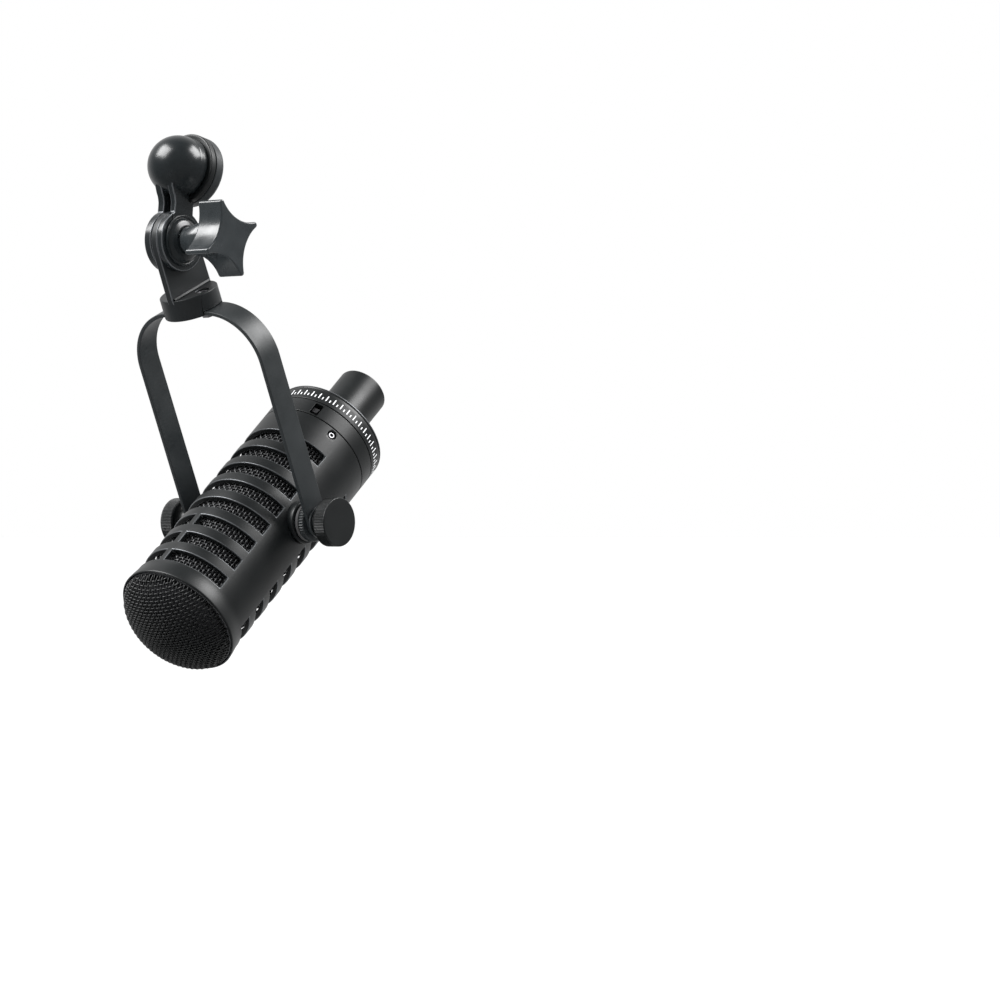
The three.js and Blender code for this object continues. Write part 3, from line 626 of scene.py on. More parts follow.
def barrel_shell():
    columns = 120
    rows = barrel_rows()
    vertices = []
    for y, outer, inner in rows:
        for radius in (outer, inner):
            for i in range(columns):
                angle = TURN * i / columns
                vertices.append((radius * math.sin(angle), y, radius * math.cos(angle)))

    def vertex(row, layer, column):
        return (row * 2 + layer) * columns + column % columns

    def solid(row, column):
        if not 0 <= row < len(rows) - 1:
            return False
        middle = (rows[row][0] + rows[row + 1][0]) / 2
        return not slot_at(middle, (column + 0.5) * 360 / columns)

    faces = []
    for row in range(len(rows)):
        for column in range(columns):
            here = solid(row, column)
            if here:
                for layer in (0, 1):
                    faces.append((vertex(row, layer, column), vertex(row, layer, column + 1),
                                  vertex(row + 1, layer, column + 1), vertex(row + 1, layer, column)))
            if here != solid(row - 1, column):
                faces.append((vertex(row, 0, column), vertex(row, 0, column + 1),
                              vertex(row, 1, column + 1), vertex(row, 1, column)))
            if row < len(rows) - 1 and here != solid(row, column - 1):
                faces.append((vertex(row, 0, column), vertex(row + 1, 0, column),
                              vertex(row + 1, 1, column), vertex(row, 1, column)))
    used = sorted({v for face in faces for v in face})
    renumbered = {old: new for new, old in enumerate(used)}
    return [vertices[v] for v in used], [tuple(renumbered[v] for v in face) for face in faces]


def make_barrel():
    barrel = new_object("barrel_shell", barrel_shell(), MIC_FRAME)
    # The slot edges take the lighter edge paint: a painted highlight.
    paint_edge_highlights(barrel, MATERIALS["satin_black"], 0.4, segments=2, angle=45)
    countersink = along_z(revolved([(0, 25), (2.3, 25), (2.3, 29.6), (3.0, 30.3), (3.0, 33), (0, 33)], 32))
    holes = [around(countersink, angle, SET_SCREW_Y) for angle in SET_SCREW_ANGLES]
    carve(barrel, round_bar((0, 0), PIVOT_HOLE_R, (-BOSS_X, BOSS_X)), *holes)
    add_piece(barrel, "mic", "satin_black", "barrel")

    root_r = BARREL_R - 1.4
    profile = filleted([(PIVOT_HOLE_R, 0), (BOSS_R, 0), (BOSS_R, BOSS_X, 0.8), (PIVOT_HOLE_R, BOSS_X, 0.3)])
    boss = along_x(revolved(profile, 72))
    boss = mapped(boss, lambda x, y, z: (math.sqrt(root_r ** 2 - z ** 2) if x < 1 else x, y, z))
    for word, side in SIDES:
        shape = mapped(boss, lambda x, y, z, side=side: (side * x, y, z))
        place(f"pivot_boss_{word}", shape, MIC_FRAME, "mic", "satin_black")


def wire_mesh(points, outward, radius, sides, closed):
    """A tube along points. outward is the direction away from the surface at each point."""
    ahead = np.roll(points, -1, axis=0) - np.roll(points, 1, axis=0)
    if not closed:
        ahead[0] = points[1] - points[0]
        ahead[-1] = points[-1] - points[-2]
    ahead /= np.linalg.norm(ahead, axis=1, keepdims=True)
    across = np.cross(ahead, outward)
    across /= np.linalg.norm(across, axis=1, keepdims=True)
    up = np.cross(across, ahead)
    lines = []
    for side in range(sides):
        angle = TURN * (side + 0.5) / sides
        lines.append(points + radius * (math.cos(angle) * across + math.sin(angle) * up))
    vertices = np.stack(lines, axis=1).reshape(-1, 3).tolist()
    rings = [tuple(range(i * sides, (i + 1) * sides)) for i in range(len(points))]
    return vertices, skin(rings, closed) + ([] if closed else [rings[0], rings[-1]])


def make_sleeve():
    """Woven wire behind the slots: thin hoops, and thick lengthwise wires that pass over and under them."""
    samples, sides = 3, 5
    hoop_r, upright_r = 0.18, 0.42
    uprights = 2 * round(TURN * SLEEVE_R / SLEEVE_PITCH / 2)
    hoops = round((SLEEVE[1] - SLEEVE[0]) / SLEEVE_PITCH)
    spacing = (SLEEVE[1] - SLEEVE[0]) / hoops
    turns = np.arange(uprights * samples) / samples
    angles = TURN * turns / uprights
    outward = np.stack([np.sin(angles), np.zeros_like(angles), np.cos(angles)], axis=1)
    wires = []
    for hoop in range(hoops + 1):
        points = outward * SLEEVE_R
        points[:, 1] = SLEEVE[0] + hoop * spacing
        wires.append(wire_mesh(points, outward, hoop_r, sides, closed=True))
    place("sleeve_hoops", merged(*wires), MIC_FRAME, "mic", "black_mesh", "mesh_sleeve")

    steps = np.arange(hoops * samples + 1) / samples
    wires = []
    for upright in range(uprights):
        angle = TURN * upright / uprights
        direction = np.array([math.sin(angle), 0, math.cos(angle)])
        r = SLEEVE_R - (hoop_r + upright_r) * np.cos(math.pi * (steps + upright))
        points = direction[None, :] * r[:, None]
        points[:, 1] = SLEEVE[0] + steps * spacing
        wires.append(wire_mesh(points, np.tile(direction, (len(steps), 1)), upright_r, sides, closed=False))
    place("sleeve_uprights", merged(*wires), MIC_FRAME, "mic", "black_mesh")


def make_liner():
    """The cloth tube inside the wire sleeve, bowed in a little between the hoops it touches."""
    inner, outer = LINER
    bow = 0.1
    rows = np.arange(SLEEVE[0], SLEEVE[1], SLEEVE_PITCH / 2)
    drawn_in = bow * (np.arange(len(rows)) % 2)
    outside = [(outer - inset, y) for inset, y in zip(drawn_in, rows)]
    inside = [(inner - inset, y) for inset, y in zip(drawn_in, rows)]
    liner = new_object("liner_tube", revolved(outside + inside[::-1], 120), MIC_FRAME)
    # The cloth is painted darker, partly as painted shade behind the wires.
    liner.data.materials.append(LINER_CLOTH_PAINTED_SHADE)
    add_piece(liner, "mic", "foam_and_cloth", "cloth_liner")


def grille_surface(x, z):
    """Points and outward directions of the domed grille above (x, z), which may be arrays."""
    power = 2 / GRILLE_POWER
    share = np.clip(np.hypot(x, z) / GRILLE_R, 0, 0.99999)
    height = GRILLE_HEIGHT * (1 - share ** power) ** (1 / power)
    slope = GRILLE_HEIGHT / GRILLE_R * (1 - share ** power) ** (1 / power - 1) * share ** (power - 1)
    r = np.maximum(np.hypot(x, z), 1e-9)
    outward = np.stack([slope * x / r, -np.ones_like(r), slope * z / r], axis=1)
    outward /= np.linalg.norm(outward, axis=1, keepdims=True)
    return np.stack([x, BARREL_FRONT - height, z], axis=1), outward


def make_grille():
    """The domed front: woven wire pressed to shape, with its hem behind the barrel's lip."""
    pitch, samples, sides = 1.55, 4, 4
    radii, crimps = (0.42, 0.28), (0.32, -0.22)
    skin = radii[0] + crimps[0]
    reach = int((GRILLE_R - 0.6) / pitch)
    wires = []
    for direction in (0, 1):
        for number in range(-reach, reach + 1):
            fixed = number * pitch
            half = math.sqrt(GRILLE_R ** 2 - fixed ** 2)
            fine = half * np.sin(np.linspace(-math.pi / 2, math.pi / 2, 1200))
            line, _ = grille_surface(fine, np.full_like(fine, fixed))
            length = np.concatenate([[0], np.cumsum(np.linalg.norm(np.diff(line, axis=0), axis=1))])
            count = max(8, int(length[-1] / pitch * samples))
            moving = np.interp(np.linspace(0, length[-1], count), length, fine)
            pair = (moving, np.full_like(moving, fixed))
            x, z = pair if direction == 0 else pair[::-1]
            points, outward = grille_surface(x, z)
            radius = radii[direction]
            wave = crimps[direction] * np.cos(math.pi * (moving / pitch + number))
            points = points + outward * (wave - skin)[:, None]
            wires.append(wire_mesh(points, outward, radius, sides, closed=False))
    grille = new_object("grille_wires", merged(*wires), MIC_FRAME)
    # The dome's wires take the darker, shaded tone of the wire paint: painted shade.
    grille.data.materials.append(WIRE_PAINT_SHADED_TONE)
    add_piece(grille, "mic", "black_mesh", "front_grille")

    inner, outer = GRILLE_R - 1.5, GRILLE_R
    hem = revolved(filleted([(inner, BARREL_FRONT + 0.1, 0.3), (outer, BARREL_FRONT + 0.1, 0.5),
                             (outer, BARREL_FRONT + 3.2, 0.2), (inner, BARREL_FRONT + 3.2, 0.2)]), 120)
    place("grille_hem", hem, MIC_FRAME, "mic", "black_mesh")


def make_windscreen():
    """The foam behind the front grille."""
    outline = [(0, BARREL_FRONT - 11.8), (12, BARREL_FRONT - 9.8, 9), (20.5, BARREL_FRONT - 4.6, 6),
               (24.2, BARREL_FRONT + 1, 3), (24.2, -62, 1.5), (0, -62)]
    foam = new_object("foam_insert", revolved(filleted(outline), 72), MIC_FRAME)
    add_piece(foam, "mic", "foam_and_cloth", "foam_windscreen")


def make_set_screws():
    top = BARREL_R - 0.55
    profile = filleted([(0, 27.5), (1.9, 27.5, 0.2), (1.9, top - 0.5), (1.45, top), (0, top)])
    for number, angle in enumerate(SET_SCREW_ANGLES, 1):
        screw = new_object(f"grub_screw_{number}", around(along_z(revolved(profile, 40)), angle, SET_SCREW_Y),
                           MIC_FRAME)
        carve(screw, around(hex_bar(1.0, (top - 1.6, top + 1)), angle, SET_SCREW_Y))
        soften(screw, 0.06, segments=2)
        screw.data.materials.append(DULL_STEEL)
        add_piece(screw, "mic", "steel", f"set_screw_{number}")


def make_rear():
    start, end = REAR_HOUSING
    profile = filleted([(REAR_BORE_R, REAR_SPIGOT_START), (REAR_SPIGOT_R, REAR_SPIGOT_START, 0.3),
                        (REAR_SPIGOT_R, start), (BARREL_R, start, 0.35), (BARREL_R, end, 0.35),
                        (REAR_NECK_R, end), (REAR_NECK_R, REAR_NECK_END), (REAR_BORE_R, REAR_NECK_END)])
    housing = new_object("rear_ring", revolved(profile, 144), MIC_FRAME)
    width, length = SWITCH_SLOT
    inside, outside = REAR_BORE_R - 1.5, BARREL_R + 4
    window = [(-length / 2, inside), (length / 2, inside), (length / 2, outside), (-length / 2, outside)]
    carve(housing, around(prism(window, (-width / 2, width / 2)), SWITCH_ANGLE, SWITCH_Y))
    soften(housing, 0.2, segments=2, angle=50)
    add_piece(housing, "mic", "satin_black", "rear_housing")

    start, end = TAIL_CAP
    low, half, high = MARK_BAND
    cap = revolved(filleted([(TAIL_CAP_HOLE_R, end - TAIL_PLATE), (TAIL_CAP_BORE_R, end - TAIL_PLATE),
                             (TAIL_CAP_BORE_R, start), (BARREL_R, start, 0.35),
                             (BARREL_R, low), (BARREL_R, half), (BARREL_R, high), (BARREL_R, end - 2.0),
                             (BARREL_R - 0.35, end - 1.8), (BARREL_R, end - 1.6),
                             (BARREL_R, end, 0.8), (TAIL_CAP_HOLE_R, end, 0.3)]), MARK_COLUMNS)
    ring = new_object("tail_ring", cap, MIC_FRAME)
    for material in (MATERIALS["satin_black"], MARK_PAINT, EDGE_HIGHLIGHT_PAINT):
        ring.data.materials.append(material)
    for face in ring.data.polygons:
        x, y, z = face.center / MM
        column = math.floor(math.degrees(math.atan2(x, z)) % 360 * MARK_COLUMNS / 360)
        on_skin = math.hypot(x, z) > BARREL_R - 0.06
        if on_skin and (low < y < high and column % 8 == 0 or low < y < half and column % 8 == 4):
            face.material_index = 1
        # Faces on the outer rear rim take the edge paint: a painted highlight along the rim.
        if y > end - 1.0 and math.hypot(x, z) > BARREL_R - 0.9:
            face.material_index = 2
    add_piece(ring, "mic", "satin_black", "tail_cap")

    sleeve = revolved(filleted([(XLR_BORE_R, XLR_FLANGE[0]), (XLR_FLANGE_R, XLR_FLANGE[0]),
                                (XLR_FLANGE_R, XLR_FLANGE[1]), (XLR_R, XLR_FLANGE[1]),
                                (XLR_R, XLR_END, 1.3), (XLR_BORE_R, XLR_END, 0.6)]), 120)
    place("socket_tube", sleeve, MIC_FRAME, "mic", "satin_black", "xlr_sleeve")

    start, end = XLR_INSERT
    profile = filleted([(0, start), (XLR_INSERT_R, start, 0.3), (XLR_INSERT_R, end, 0.4), (0, end)])
    place("socket_insulator", revolved(profile, 72), MIC_FRAME, "mic", "black_plastic", "xlr_insert")
    start, end = XLR_PIN
    pin = revolved(filleted([(0, start), (XLR_PIN_R, start), (XLR_PIN_R, end, 0.9), (0, end)]), 32)
    for number, angle in enumerate(XLR_PIN_ANGLES, 1):
        x, z = (XLR_PIN_CIRCLE_R * part for part in sin_cos(angle))
        place(f"contact_pin_{number}", moved(pin, x, z), MIC_FRAME, "mic", "brass", f"xlr_pin_{number}")


def make_switch():
    """The slide switch's ridged button, which lies in the rear housing's window."""
    ridges = 4
    low, high, half, half_width = 26.9, 28.8, 1.5, 1.85
    outline = [(-half, low), (half, low)]
    for ridge in range(ridges):
        right = half - ridge * 2 * half / ridges
        outline += [(right - 0.1, high), (right - 0.45, high), (right - 0.6, high - 0.35)]
    shape = around(prism(outline, (-half_width, half_width)), SWITCH_ANGLE, SWITCH_Y)
    button = new_object("switch_button", shape, MIC_FRAME)
    soften(button, 0.1, segments=2)
    add_piece(button, "switch", "black_plastic", "switch_slider")


# ---- Pivots


def ribbed(count, depth, low, high, over):
    """Straight ribs on the part of a turned surface that lies between two heights and over a radius."""
    def ripple(radius, height, angle):
        if radius < over or not low <= height <= high:
            return radius
        return radius - depth * (0.5 + 0.5 * math.cos(count * angle))
    return ripple


def make_pivots():
    """On each side, outward from the barrel: pad, toothed washer, flat washer and thumbscrew."""
    collar, head = THUMB_COLLAR
    thumb_profile = filleted([(0, THUMB_SHANK_START), (THUMB_SHANK_R, THUMB_SHANK_START, 0.4),
                              (THUMB_SHANK_R, collar), (THUMB_COLLAR_R, collar, 0.3), (THUMB_COLLAR_R, head),
                              (THUMB_HEAD_R - 1, head, 0.5), (THUMB_HEAD_R, head + 0.5),
                              (THUMB_HEAD_R, head + 1.0), (THUMB_HEAD_R, THUMB_HEAD_END - 0.9),
                              (THUMB_HEAD_R, THUMB_HEAD_END, 0.8), (0, THUMB_HEAD_END)])
    knurl = ribbed(THUMB_RIBS, 0.34, head + 0.4, THUMB_HEAD_END - 0.75, THUMB_HEAD_R - 0.3)
    thumb = revolved(thumb_profile, THUMB_RIBS * SEGMENTS_PER_RIB, knurl)
    pad = soft_ring(PIVOT_HOLE_R, PAD_R, PAD, 0.5, 72)
    low, high = LOCK_WASHER
    bevel_r = LOCK_WASHER_R - 0.55
    washer_profile = filleted([(PIVOT_HOLE_R, low), (bevel_r, low, 0.2), (LOCK_WASHER_R, low + 0.5, 0.1),
                               (LOCK_WASHER_R, (low + high) / 2), (LOCK_WASHER_R, high - 0.5, 0.1),
                               (bevel_r, high, 0.2), (PIVOT_HOLE_R, high)])
    teeth = ribbed(LOCK_WASHER_TEETH, 0.55, low + 0.3, high - 0.3, 9.3)
    washer = revolved(washer_profile, LOCK_WASHER_TEETH * SEGMENTS_PER_RIB, teeth)
    flat = soft_ring(PIVOT_HOLE_R, THUMB_WASHER_R, THUMB_WASHER, 0.2, 72)
    for word, side in SIDES:
        for name, mesh, body, slot, node in (
            ("pad", pad, "mic", "rubber", "pivot_pad"),
            ("toothed_washer", washer, "yoke", "matte_black", "lock_washer"),
            ("flat_washer", flat, "yoke", "matte_black", "thumb_washer"),
            ("thumb_knob", thumb, f"thumb_{word}", "satin_black", "thumbscrew"),
        ):
            place(f"{name}_{word}", along_x(mesh, side), MIC_FRAME, body, slot, f"{node}_{word}")


# ---- Yoke


def strap_path():
    """(x, z, outward x, outward z, distance beyond the pivot) along the strap's middle line."""
    middle_r = YOKE_BEND_R - STRAP_THICKNESS / 2
    arm_x = YOKE_HALF_SPAN - STRAP_THICKNESS / 2
    bend_x = YOKE_HALF_SPAN - YOKE_BEND_R
    bend_z = YOKE_TOP - YOKE_BEND_R
    half = STRAP_WIDTH / 2
    right = []
    for angle in np.linspace(0, 88, 15):
        beyond = half * math.cos(math.radians(angle))
        right.append((arm_x, PIVOT_Z - beyond, 1, 0, beyond))
    right += [(arm_x, z, 1, 0, 0) for z in np.linspace(PIVOT_Z, bend_z, 12)]
    for angle in np.linspace(0, 90, 25)[1:]:
        s, c = sin_cos(angle)
        right.append((bend_x + middle_r * c, bend_z + middle_r * s, c, s, 0))
    left = [(-x, z, -nx, nz, beyond) for x, z, nx, nz, beyond in reversed(right)]
    return right + left


def make_yoke_bracket():
    half, thick = STRAP_WIDTH / 2, STRAP_THICKNESS / 2
    vertices, rows = [], []
    for x, z, nx, nz, beyond in strap_path():
        width = max(math.sqrt(max(half ** 2 - beyond ** 2, 0)), 0.25)
        edge = min(0.45, width * 0.8)
        section = filleted([(-width, -thick, edge), (width, -thick, edge), (width, thick, edge),
                            (-width, thick, edge)], steps=3)
        rows.append(tuple(range(len(vertices), len(vertices) + len(section))))
        vertices += [(x + nx * out, y, z + nz * out) for y, out in section]
    faces = [rows[0], rows[-1]] + skin(rows)
    bracket = new_object("yoke_strap", (vertices, faces), YOKE_FRAME)
    carve(bracket, round_bar((0, PIVOT_Z), PIVOT_HOLE_R, (-YOKE_HALF_SPAN - 1, YOKE_HALF_SPAN + 1)))
    add_piece(bracket, "yoke", "matte_black", "yoke_bracket")


def make_yoke_base():
    """A tongue for the hinge on a thick disc. The strap lies in a channel across the disc's underside."""
    low, high = YOKE_TOP - STRAP_THICKNESS, DISC_TOP
    channel_half = STRAP_WIDTH / 2 + GAP
    disc = along_z(revolved(filleted([(0, low), (DISC_R, low, 0.6), (DISC_R, high, 0.5), (0, high)]), 96))
    channel = prism([(-channel_half, low - 1), (channel_half, low - 1), (channel_half, CHANNEL_ROOF),
                     (-channel_half, CHANNEL_ROOF)], (-2 * DISC_R, 2 * DISC_R))
    base = new_object("yoke_disc", disc, YOKE_FRAME)
    seat = high - COUNTERBORE_DEPTH
    bores = []
    for x in (-YOKE_SCREW_X, YOKE_SCREW_X):
        bore = along_z(revolved([(0, low - 1), (SCREW_BORE_R, low - 1), (SCREW_BORE_R, seat),
                                 (COUNTERBORE_R, seat), (COUNTERBORE_R, high + 1), (0, high + 1)], 40))
        bores.append(moved(bore, x))
    carve(base, channel, *bores)
    # The disc's edges take the lighter edge paint: a painted highlight.
    paint_edge_highlights(base, BASE_COAT, 0.25, segments=2)
    add_piece(base, "yoke", "matte_black")

    outline = filleted([(-TONGUE_FOOT, low, 0.5), (TONGUE_FOOT, low, 0.5), (TONGUE_FOOT, high)])
    outline += arc((0, 0), TONGUE_R, 0, 180, 48) + [(-TONGUE_FOOT, high)]
    tongue = new_object("yoke_tongue", prism(outline, TONGUE), YOKE_FRAME)
    carve(tongue, round_bar((0, 0), TONGUE_BORE_R, (-5, 5)), channel)
    # The tongue's edges take the lighter edge paint: a painted highlight.
    paint_edge_highlights(tongue, BASE_COAT, 0.45)
    add_piece(tongue, "yoke", "matte_black", "yoke_base")

    width, rise = 0.9, 1.1
    for word, face, side in (("left", TONGUE[0], -1), ("right", TONGUE[1], 1)):
        section = filleted([(face - side * 0.2, high - 0.2), (face + side * width, high - 0.2),
                            (face + side * width, high + 0.3, 0.2), (face + side * 0.3, high + rise, 0.2),
                            (face - side * 0.2, high + rise)], steps=3)
        strip = mapped(prism(section, (0.8 - DISC_R, DISC_R - 0.8)), lambda a, b, c: (b, a, c))
        root = new_object(f"tongue_root_{word}", strip, YOKE_FRAME)
        root.data.materials.append(BASE_COAT)
        add_piece(root, "yoke", "matte_black")


def make_yoke_fasteners():
    seat = DISC_TOP - COUNTERBORE_DEPTH + GAP
    crown = seat + SCREW_HEAD_HEIGHT
    bottom = YOKE_TOP - STRAP_THICKNESS
    tip = bottom - 2.6
    screw_profile = filleted([(0, tip), (SCREW_R, tip, 0.4), (SCREW_R, seat),
                              (SCREW_HEAD_R, seat, 0.2), (SCREW_HEAD_R, crown, 0.5), (0, crown)])
    for number, x in ((1, -YOKE_SCREW_X), (2, YOKE_SCREW_X)):
        screw = new_object(f"yoke_bolt_{number}", moved(along_z(revolved(screw_profile, 40)), x), YOKE_FRAME)
        carve(screw, moved(hex_bar(1.5, (crown - 1.2, crown + 1)), x))
        soften(screw, 0.08, segments=2)
        add_piece(screw, "yoke", "steel", f"yoke_screw_{number}")
        top = bottom - GAP
        shape = moved(hex_bar(NUT_R, (top - NUT_HEIGHT, top)), x)
        nut = new_object(f"yoke_hex_nut_{number}", shape, YOKE_FRAME)
        bore = along_z(revolved([(0, top - 4), (NUT_BORE_R, top - 4), (NUT_BORE_R, top + 1),
                                 (0, top + 1)], 32))
        carve(nut, moved(bore, x))
        soften(nut, 0.25)
        add_piece(nut, "yoke", "steel", f"yoke_nut_{number}")


# ---- Swivel


def make_hub():
    bore = INSERT_R + 0.05
    groove_end, groove_start = CLIP_GROOVE
    profile = filleted([(bore, 0), (FLANGE_R - 0.5, 0, 1.0), (FLANGE_R, -1.6, 0.6),
                        (FLANGE_R, -HUB_LENGTH, 0.5), (HUB_NECK_R, -HUB_LENGTH),
                        (HUB_NECK_R, groove_start), (CLIP_GROOVE_R, groove_start),
                        (CLIP_GROOVE_R, groove_end), (HUB_NECK_R, groove_end), (HUB_NECK_R, HUB_NECK_END),
                        (bore, HUB_NECK_END)])
    place("hub_flange", revolved(profile, 120), HUB_FRAME, "hub", "matte_black", "boom_hub")

    start, end = HUB_NECK_END + 0.3, -0.4
    rows_per_turn = 6
    rows = int((end - start) / THREAD_PITCH * rows_per_turn)
    bore_line = [(THREAD_MAJOR_R, y) for y in np.linspace(end, start, rows)]
    profile = [(INSERT_R, start), (INSERT_R, end)] + bore_line

    def thread(radius, height, angle):
        if radius > THREAD_MAJOR_R + 0.1:
            return radius
        along = (height / THREAD_PITCH + angle / TURN) % 1
        return radius - THREAD_DEPTH * (1 - abs(2 * along - 1))

    place("threaded_bush", revolved(profile, 60, thread), HUB_FRAME, "hub", "brass", "thread_insert")


def make_ball():
    back = arc((0, BALL_Y), BALL_R, -90, 0, 40)
    profile = [(0.0, back[0][1])] + [(r, y) for r, y in back[1:]]
    profile += filleted([(BALL_R, BALL_Y + 0.4), (BALL_RIM_R, BALL_Y + 0.7), (BALL_RIM_R, BALL_RIM_Y, 0.35),
                         (SOCKET_R, BALL_RIM_Y), (SOCKET_R, SOCKET_END), (0, SOCKET_END)])
    place("ball_shell", revolved(profile, 128), HUB_FRAME, "swivel", "gloss_black", "ball_housing")

    hinge_y, hinge_z = (HUB_FRAME.inverted() @ HINGE / MM)[1:]
    length = math.hypot(hinge_y - BALL_Y, hinge_z)
    along = np.array([hinge_y - BALL_Y, hinge_z]) / length
    across = np.array([-along[1], along[0]])
    junction = math.degrees(math.asin(NECK_HALF_WIDTH / CHEEK_R))
    facing = math.degrees(math.atan2(-along[1], -along[0]))
    disc = arc((hinge_y, hinge_z), CHEEK_R, facing - junction, facing + junction - 360, 80)
    start = np.array([BALL_Y, 0.0])

    def side(sign):
        return [tuple(start + t * along + sign * half * across) for t, half in EAR_WIDTHS]

    outline = side(-1)[::-1] + side(1) + disc
    clearance = FLANGE_R + GAP
    keep_out = revolved([(0, SOCKET_END), (SOCKET_R, SOCKET_END), (SOCKET_R, BALL_RIM_Y),
                         (clearance, BALL_RIM_Y), (clearance, 2), (0, 2)], 96)
    for name, span in zip(("hinge_ear_left", "hinge_ear_right"), CHEEKS):
        ear = new_object(name, prism(outline, span), HUB_FRAME)
        carve(ear, keep_out, round_bar((hinge_y, hinge_z), BOLT_R + 0.2, (-8, 8)))
        # The ear's edges take the lighter edge paint: a painted highlight.
        paint_edge_highlights(ear, MATERIALS["gloss_black"], 0.5)
        add_piece(ear, "swivel", "gloss_black")

    ring = soft_ring(HUB_NECK_R + GAP, FLANGE_R, LOCK_RING, 0.7, 120)
    place("swivel_ring", ring, HUB_FRAME, "swivel", "satin_black", "lock_ring")


def make_hinge_hardware():
    shank = along_x(revolved([(0, BOLT_HEAD[1] - 0.5), (BOLT_R, BOLT_HEAD[1] - 0.5), (BOLT_R, BOLT_END - 0.5),
                              (BOLT_R - 0.5, BOLT_END), (0, BOLT_END)], 48))
    head = prism(hexagon(BOLT_HEAD_R, 10), BOLT_HEAD)
    bolt = new_object("hinge_hex_bolt", merged(head, shank), KNOB_FRAME)
    soften(bolt, 0.45)
    add_piece(bolt, "swivel", "steel", "hinge_bolt")

    face = CHEEKS[1][1] + GAP
    rim, crown = face + 0.85, face + 2.9
    dish = filleted([(HINGE_BORE_R, face), (DISH_R, face, 0.25), (DISH_R, rim, 0.3), (11.1, rim, 0.2),
                     (10.9, face + 0.55, 0.15), (9.6, face + 2.1, 3.0), (7.2, crown, 1.5),
                     (HINGE_BORE_R, crown)])
    place("cupped_washer", along_x(revolved(dish)), KNOB_FRAME, "swivel", "gloss_black", "dished_washer")


def star_outline():
    """Four small round tips joined by wide hollows. Tips and hollows are arcs that meet smoothly."""
    tip_centre = KNOB_TIP_R - KNOB_TIP_ROUND
    inset = KNOB_WAIST_R - KNOB_TIP_ROUND
    hollow_centre = (tip_centre ** 2 - inset ** 2) / (math.sqrt(2) * tip_centre - 2 * inset)
    hollow_r = hollow_centre - KNOB_WAIST_R
    side = hollow_centre / math.sqrt(2)
    tip_sweep = math.degrees(math.atan2(side, side - tip_centre))
    hollow_sweep = tip_sweep - 45
    points = []
    for tip in range(4):
        heading = KNOB_TURN + 90 * tip
        for distance, turn, radius, start, end, steps in (
            (tip_centre, heading, KNOB_TIP_ROUND, -tip_sweep, tip_sweep, 14),
            (hollow_centre, heading + 45, hollow_r, 180 + hollow_sweep, 180 - hollow_sweep, 30),
        ):
            s, c = sin_cos(turn)
            points += arc((distance * c, distance * s), radius, turn + start, turn + end, steps)[:-1]
    return points


def make_star_knob():
    star = new_object("star_grip", prism(star_outline(), (KNOB_BACK, KNOB_FRONT)), KNOB_FRAME)
    soften(star, 0.8, segments=4, angle=50)
    add_piece(star, "knob", "knob_plastic", "star_knob")

    end = KNOB_BACK + 0.8
    hub = revolved(filleted([(HINGE_BORE_R, KNOB_HUB_START), (6.5, KNOB_HUB_START, 0.5),
                             (6.6, KNOB_HUB_START + 2, 1), (9.4, end), (HINGE_BORE_R, end)]), 96)
    place("knob_neck", along_x(hub), KNOB_FRAME, "knob", "knob_plastic", "knob_insert")


# ---- Studio


def make_floor():
    """A wide pale floor, well below the hanging microphone."""
    depth = cad_bounds[0][2] - FLOOR_DROP
    rings, segments = 24, 96
    vertices = [(0, 0, depth)]
    for ring in range(1, rings + 1):
        for i in range(segments):
            angle = TURN * i / segments
            r = FLOOR_R * ring / rings
            vertices.append((r * math.cos(angle), r * math.sin(angle), depth))
    faces = [(0, 1 + i, 1 + (i + 1) % segments) for i in range(segments)]
    faces += skin([range(1 + i * segments, 1 + (i + 1) * segments) for i in range(rings)])
    data = bpy.data.meshes.new("studio_floor")
    data.from_pydata(vertices, [], faces)
    floor = bpy.data.objects.new("studio_floor", data)
    bpy.context.scene.collection.objects.link(floor)
    paper = finish("studio_paper", (0.84, 0.84, 0.84), 0.9, 3.0, 0.05, contrast=0.02, patch_mm=400,
                   specular=0.1)
    data.materials.append(paper)
    floor.visible_glossy = False


def soft_box(name, position, target, size, power):
    light = bpy.data.lights.new(name, "AREA")
    light.shape = "RECTANGLE"
    light.size, light.size_y = size
    light.energy = power
    obj = bpy.data.objects.new(name, light)
    bpy.context.scene.collection.objects.link(obj)
    obj.location = position
    obj.rotation_euler = (Vector(target) - Vector(position)).to_track_quat("-Z", "Y").to_euler()


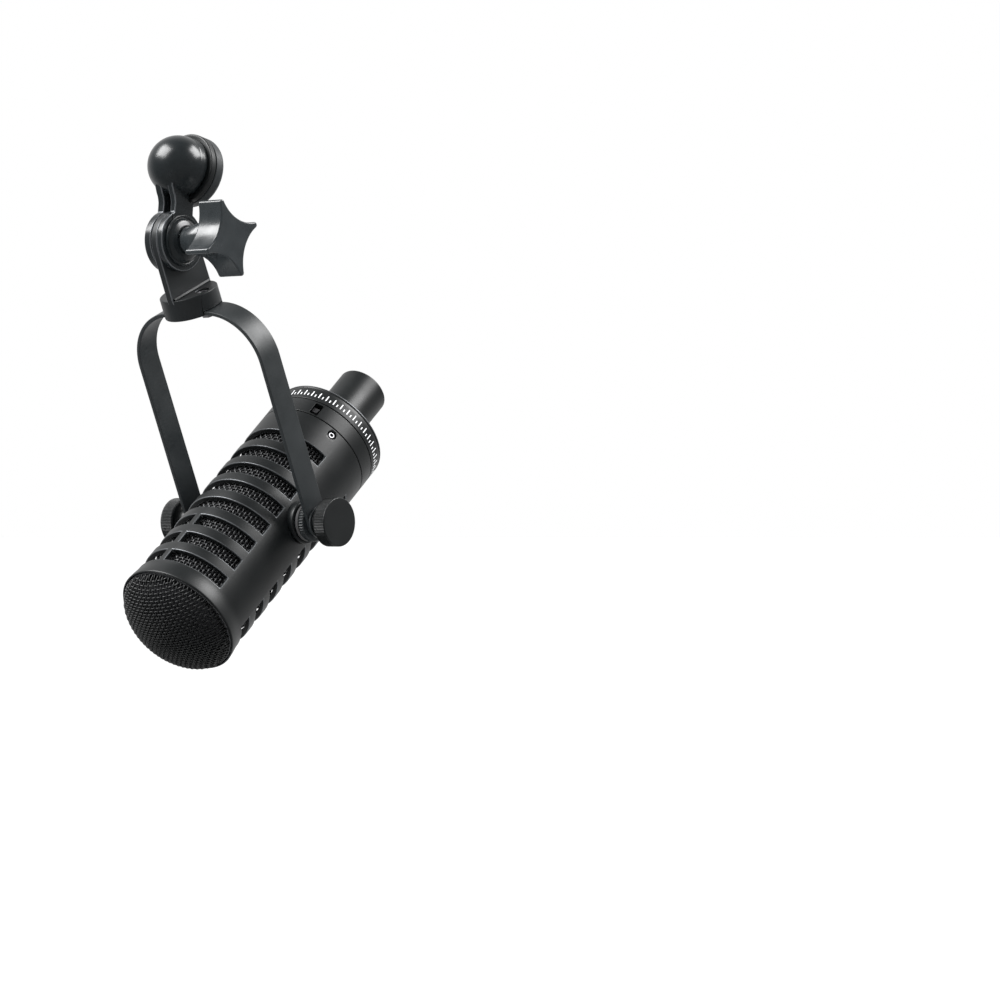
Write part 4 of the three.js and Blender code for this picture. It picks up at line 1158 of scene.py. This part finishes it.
def make_studio():
    scene = bpy.context.scene
    azimuth, elevation = math.radians(CAMERA_AZIMUTH), math.radians(CAMERA_ELEVATION)
    right = Vector((math.cos(azimuth), math.sin(azimuth), 0))
    back = Vector((math.sin(azimuth) * math.cos(elevation), -math.cos(azimuth) * math.cos(elevation),
                   math.sin(elevation)))
    up = back.cross(right)
    centre = PIVOT + 0.03 * up

    camera_data = bpy.data.cameras.new("camera")
    camera_data.lens = CAMERA_LENS
    camera_data.sensor_width = SENSOR_WIDTH
    camera = bpy.data.objects.new("camera", camera_data)
    scene.collection.objects.link(camera)
    camera.matrix_world = Matrix((right, up, back)).transposed().to_4x4()
    aside, above, away = CAMERA_OFFSET
    camera.location = PIVOT + away * back + aside * right + above * up
    scene.camera = camera

    soft_box("left_softbox", centre - 1.05 * right + 1.18 * up + 0.35 * back, centre, (1.1, 0.9), 56)
    soft_box("right_softbox", centre + 1.15 * right + 1.12 * up - 0.1 * back, centre, (0.9, 0.8), 35)
    make_backdrop(scene, -back)
    scene.view_settings.view_transform = "Standard"


def make_backdrop(scene, behind):
    """White all round. What the object mirrors is a dim room with a bright wall behind the object."""
    seen, lighting, mirrored_wall, mirrored_room = 1.0, 1.36, 0.8, 0.15
    world = bpy.data.worlds.new("studio")
    scene.world = world
    world.use_nodes = True
    world.cycles.sampling_method = "NONE"
    tree = world.node_tree

    def math_node(operation, *inputs):
        node = tree.nodes.new("ShaderNodeMath")
        node.operation = operation
        for socket, value in zip(node.inputs, inputs):
            if isinstance(value, (int, float)):
                socket.default_value = value
            else:
                tree.links.new(value, socket)
        return node.outputs["Value"]

    direction = tree.nodes.new("ShaderNodeTexCoord").outputs["Generated"]
    towards_wall = tree.nodes.new("ShaderNodeVectorMath")
    towards_wall.operation = "DOT_PRODUCT"
    tree.links.new(direction, towards_wall.inputs[0])
    towards_wall.inputs[1].default_value = behind
    mirrored = tree.nodes.new("ShaderNodeMapRange")
    set_inputs(mirrored, From_Min=0.1, From_Max=0.7, To_Min=mirrored_room, To_Max=mirrored_wall)
    tree.links.new(towards_wall.outputs["Value"], mirrored.inputs["Value"])
    path = tree.nodes.new("ShaderNodeLightPath")
    strength = math_node("MULTIPLY", path.outputs["Is Camera Ray"], seen)
    strength = math_node("MULTIPLY_ADD", path.outputs["Is Diffuse Ray"], lighting, strength)
    strength = math_node("MULTIPLY_ADD", path.outputs["Is Glossy Ray"], mirrored.outputs["Result"], strength)
    tree.links.new(strength, tree.nodes["Background"].inputs["Strength"])
    tree.nodes["Background"].inputs["Color"].default_value = (1, 1, 1, 1)


dress_cad_nodes()
make_barrel()
make_sleeve()
make_liner()
make_grille()
make_windscreen()
make_set_screws()
make_rear()
make_switch()
make_pivots()
make_yoke_bracket()
make_yoke_base()
make_yoke_fasteners()
make_hub()
make_ball()
make_hinge_hardware()
make_star_knob()
make_floor()
make_studio()
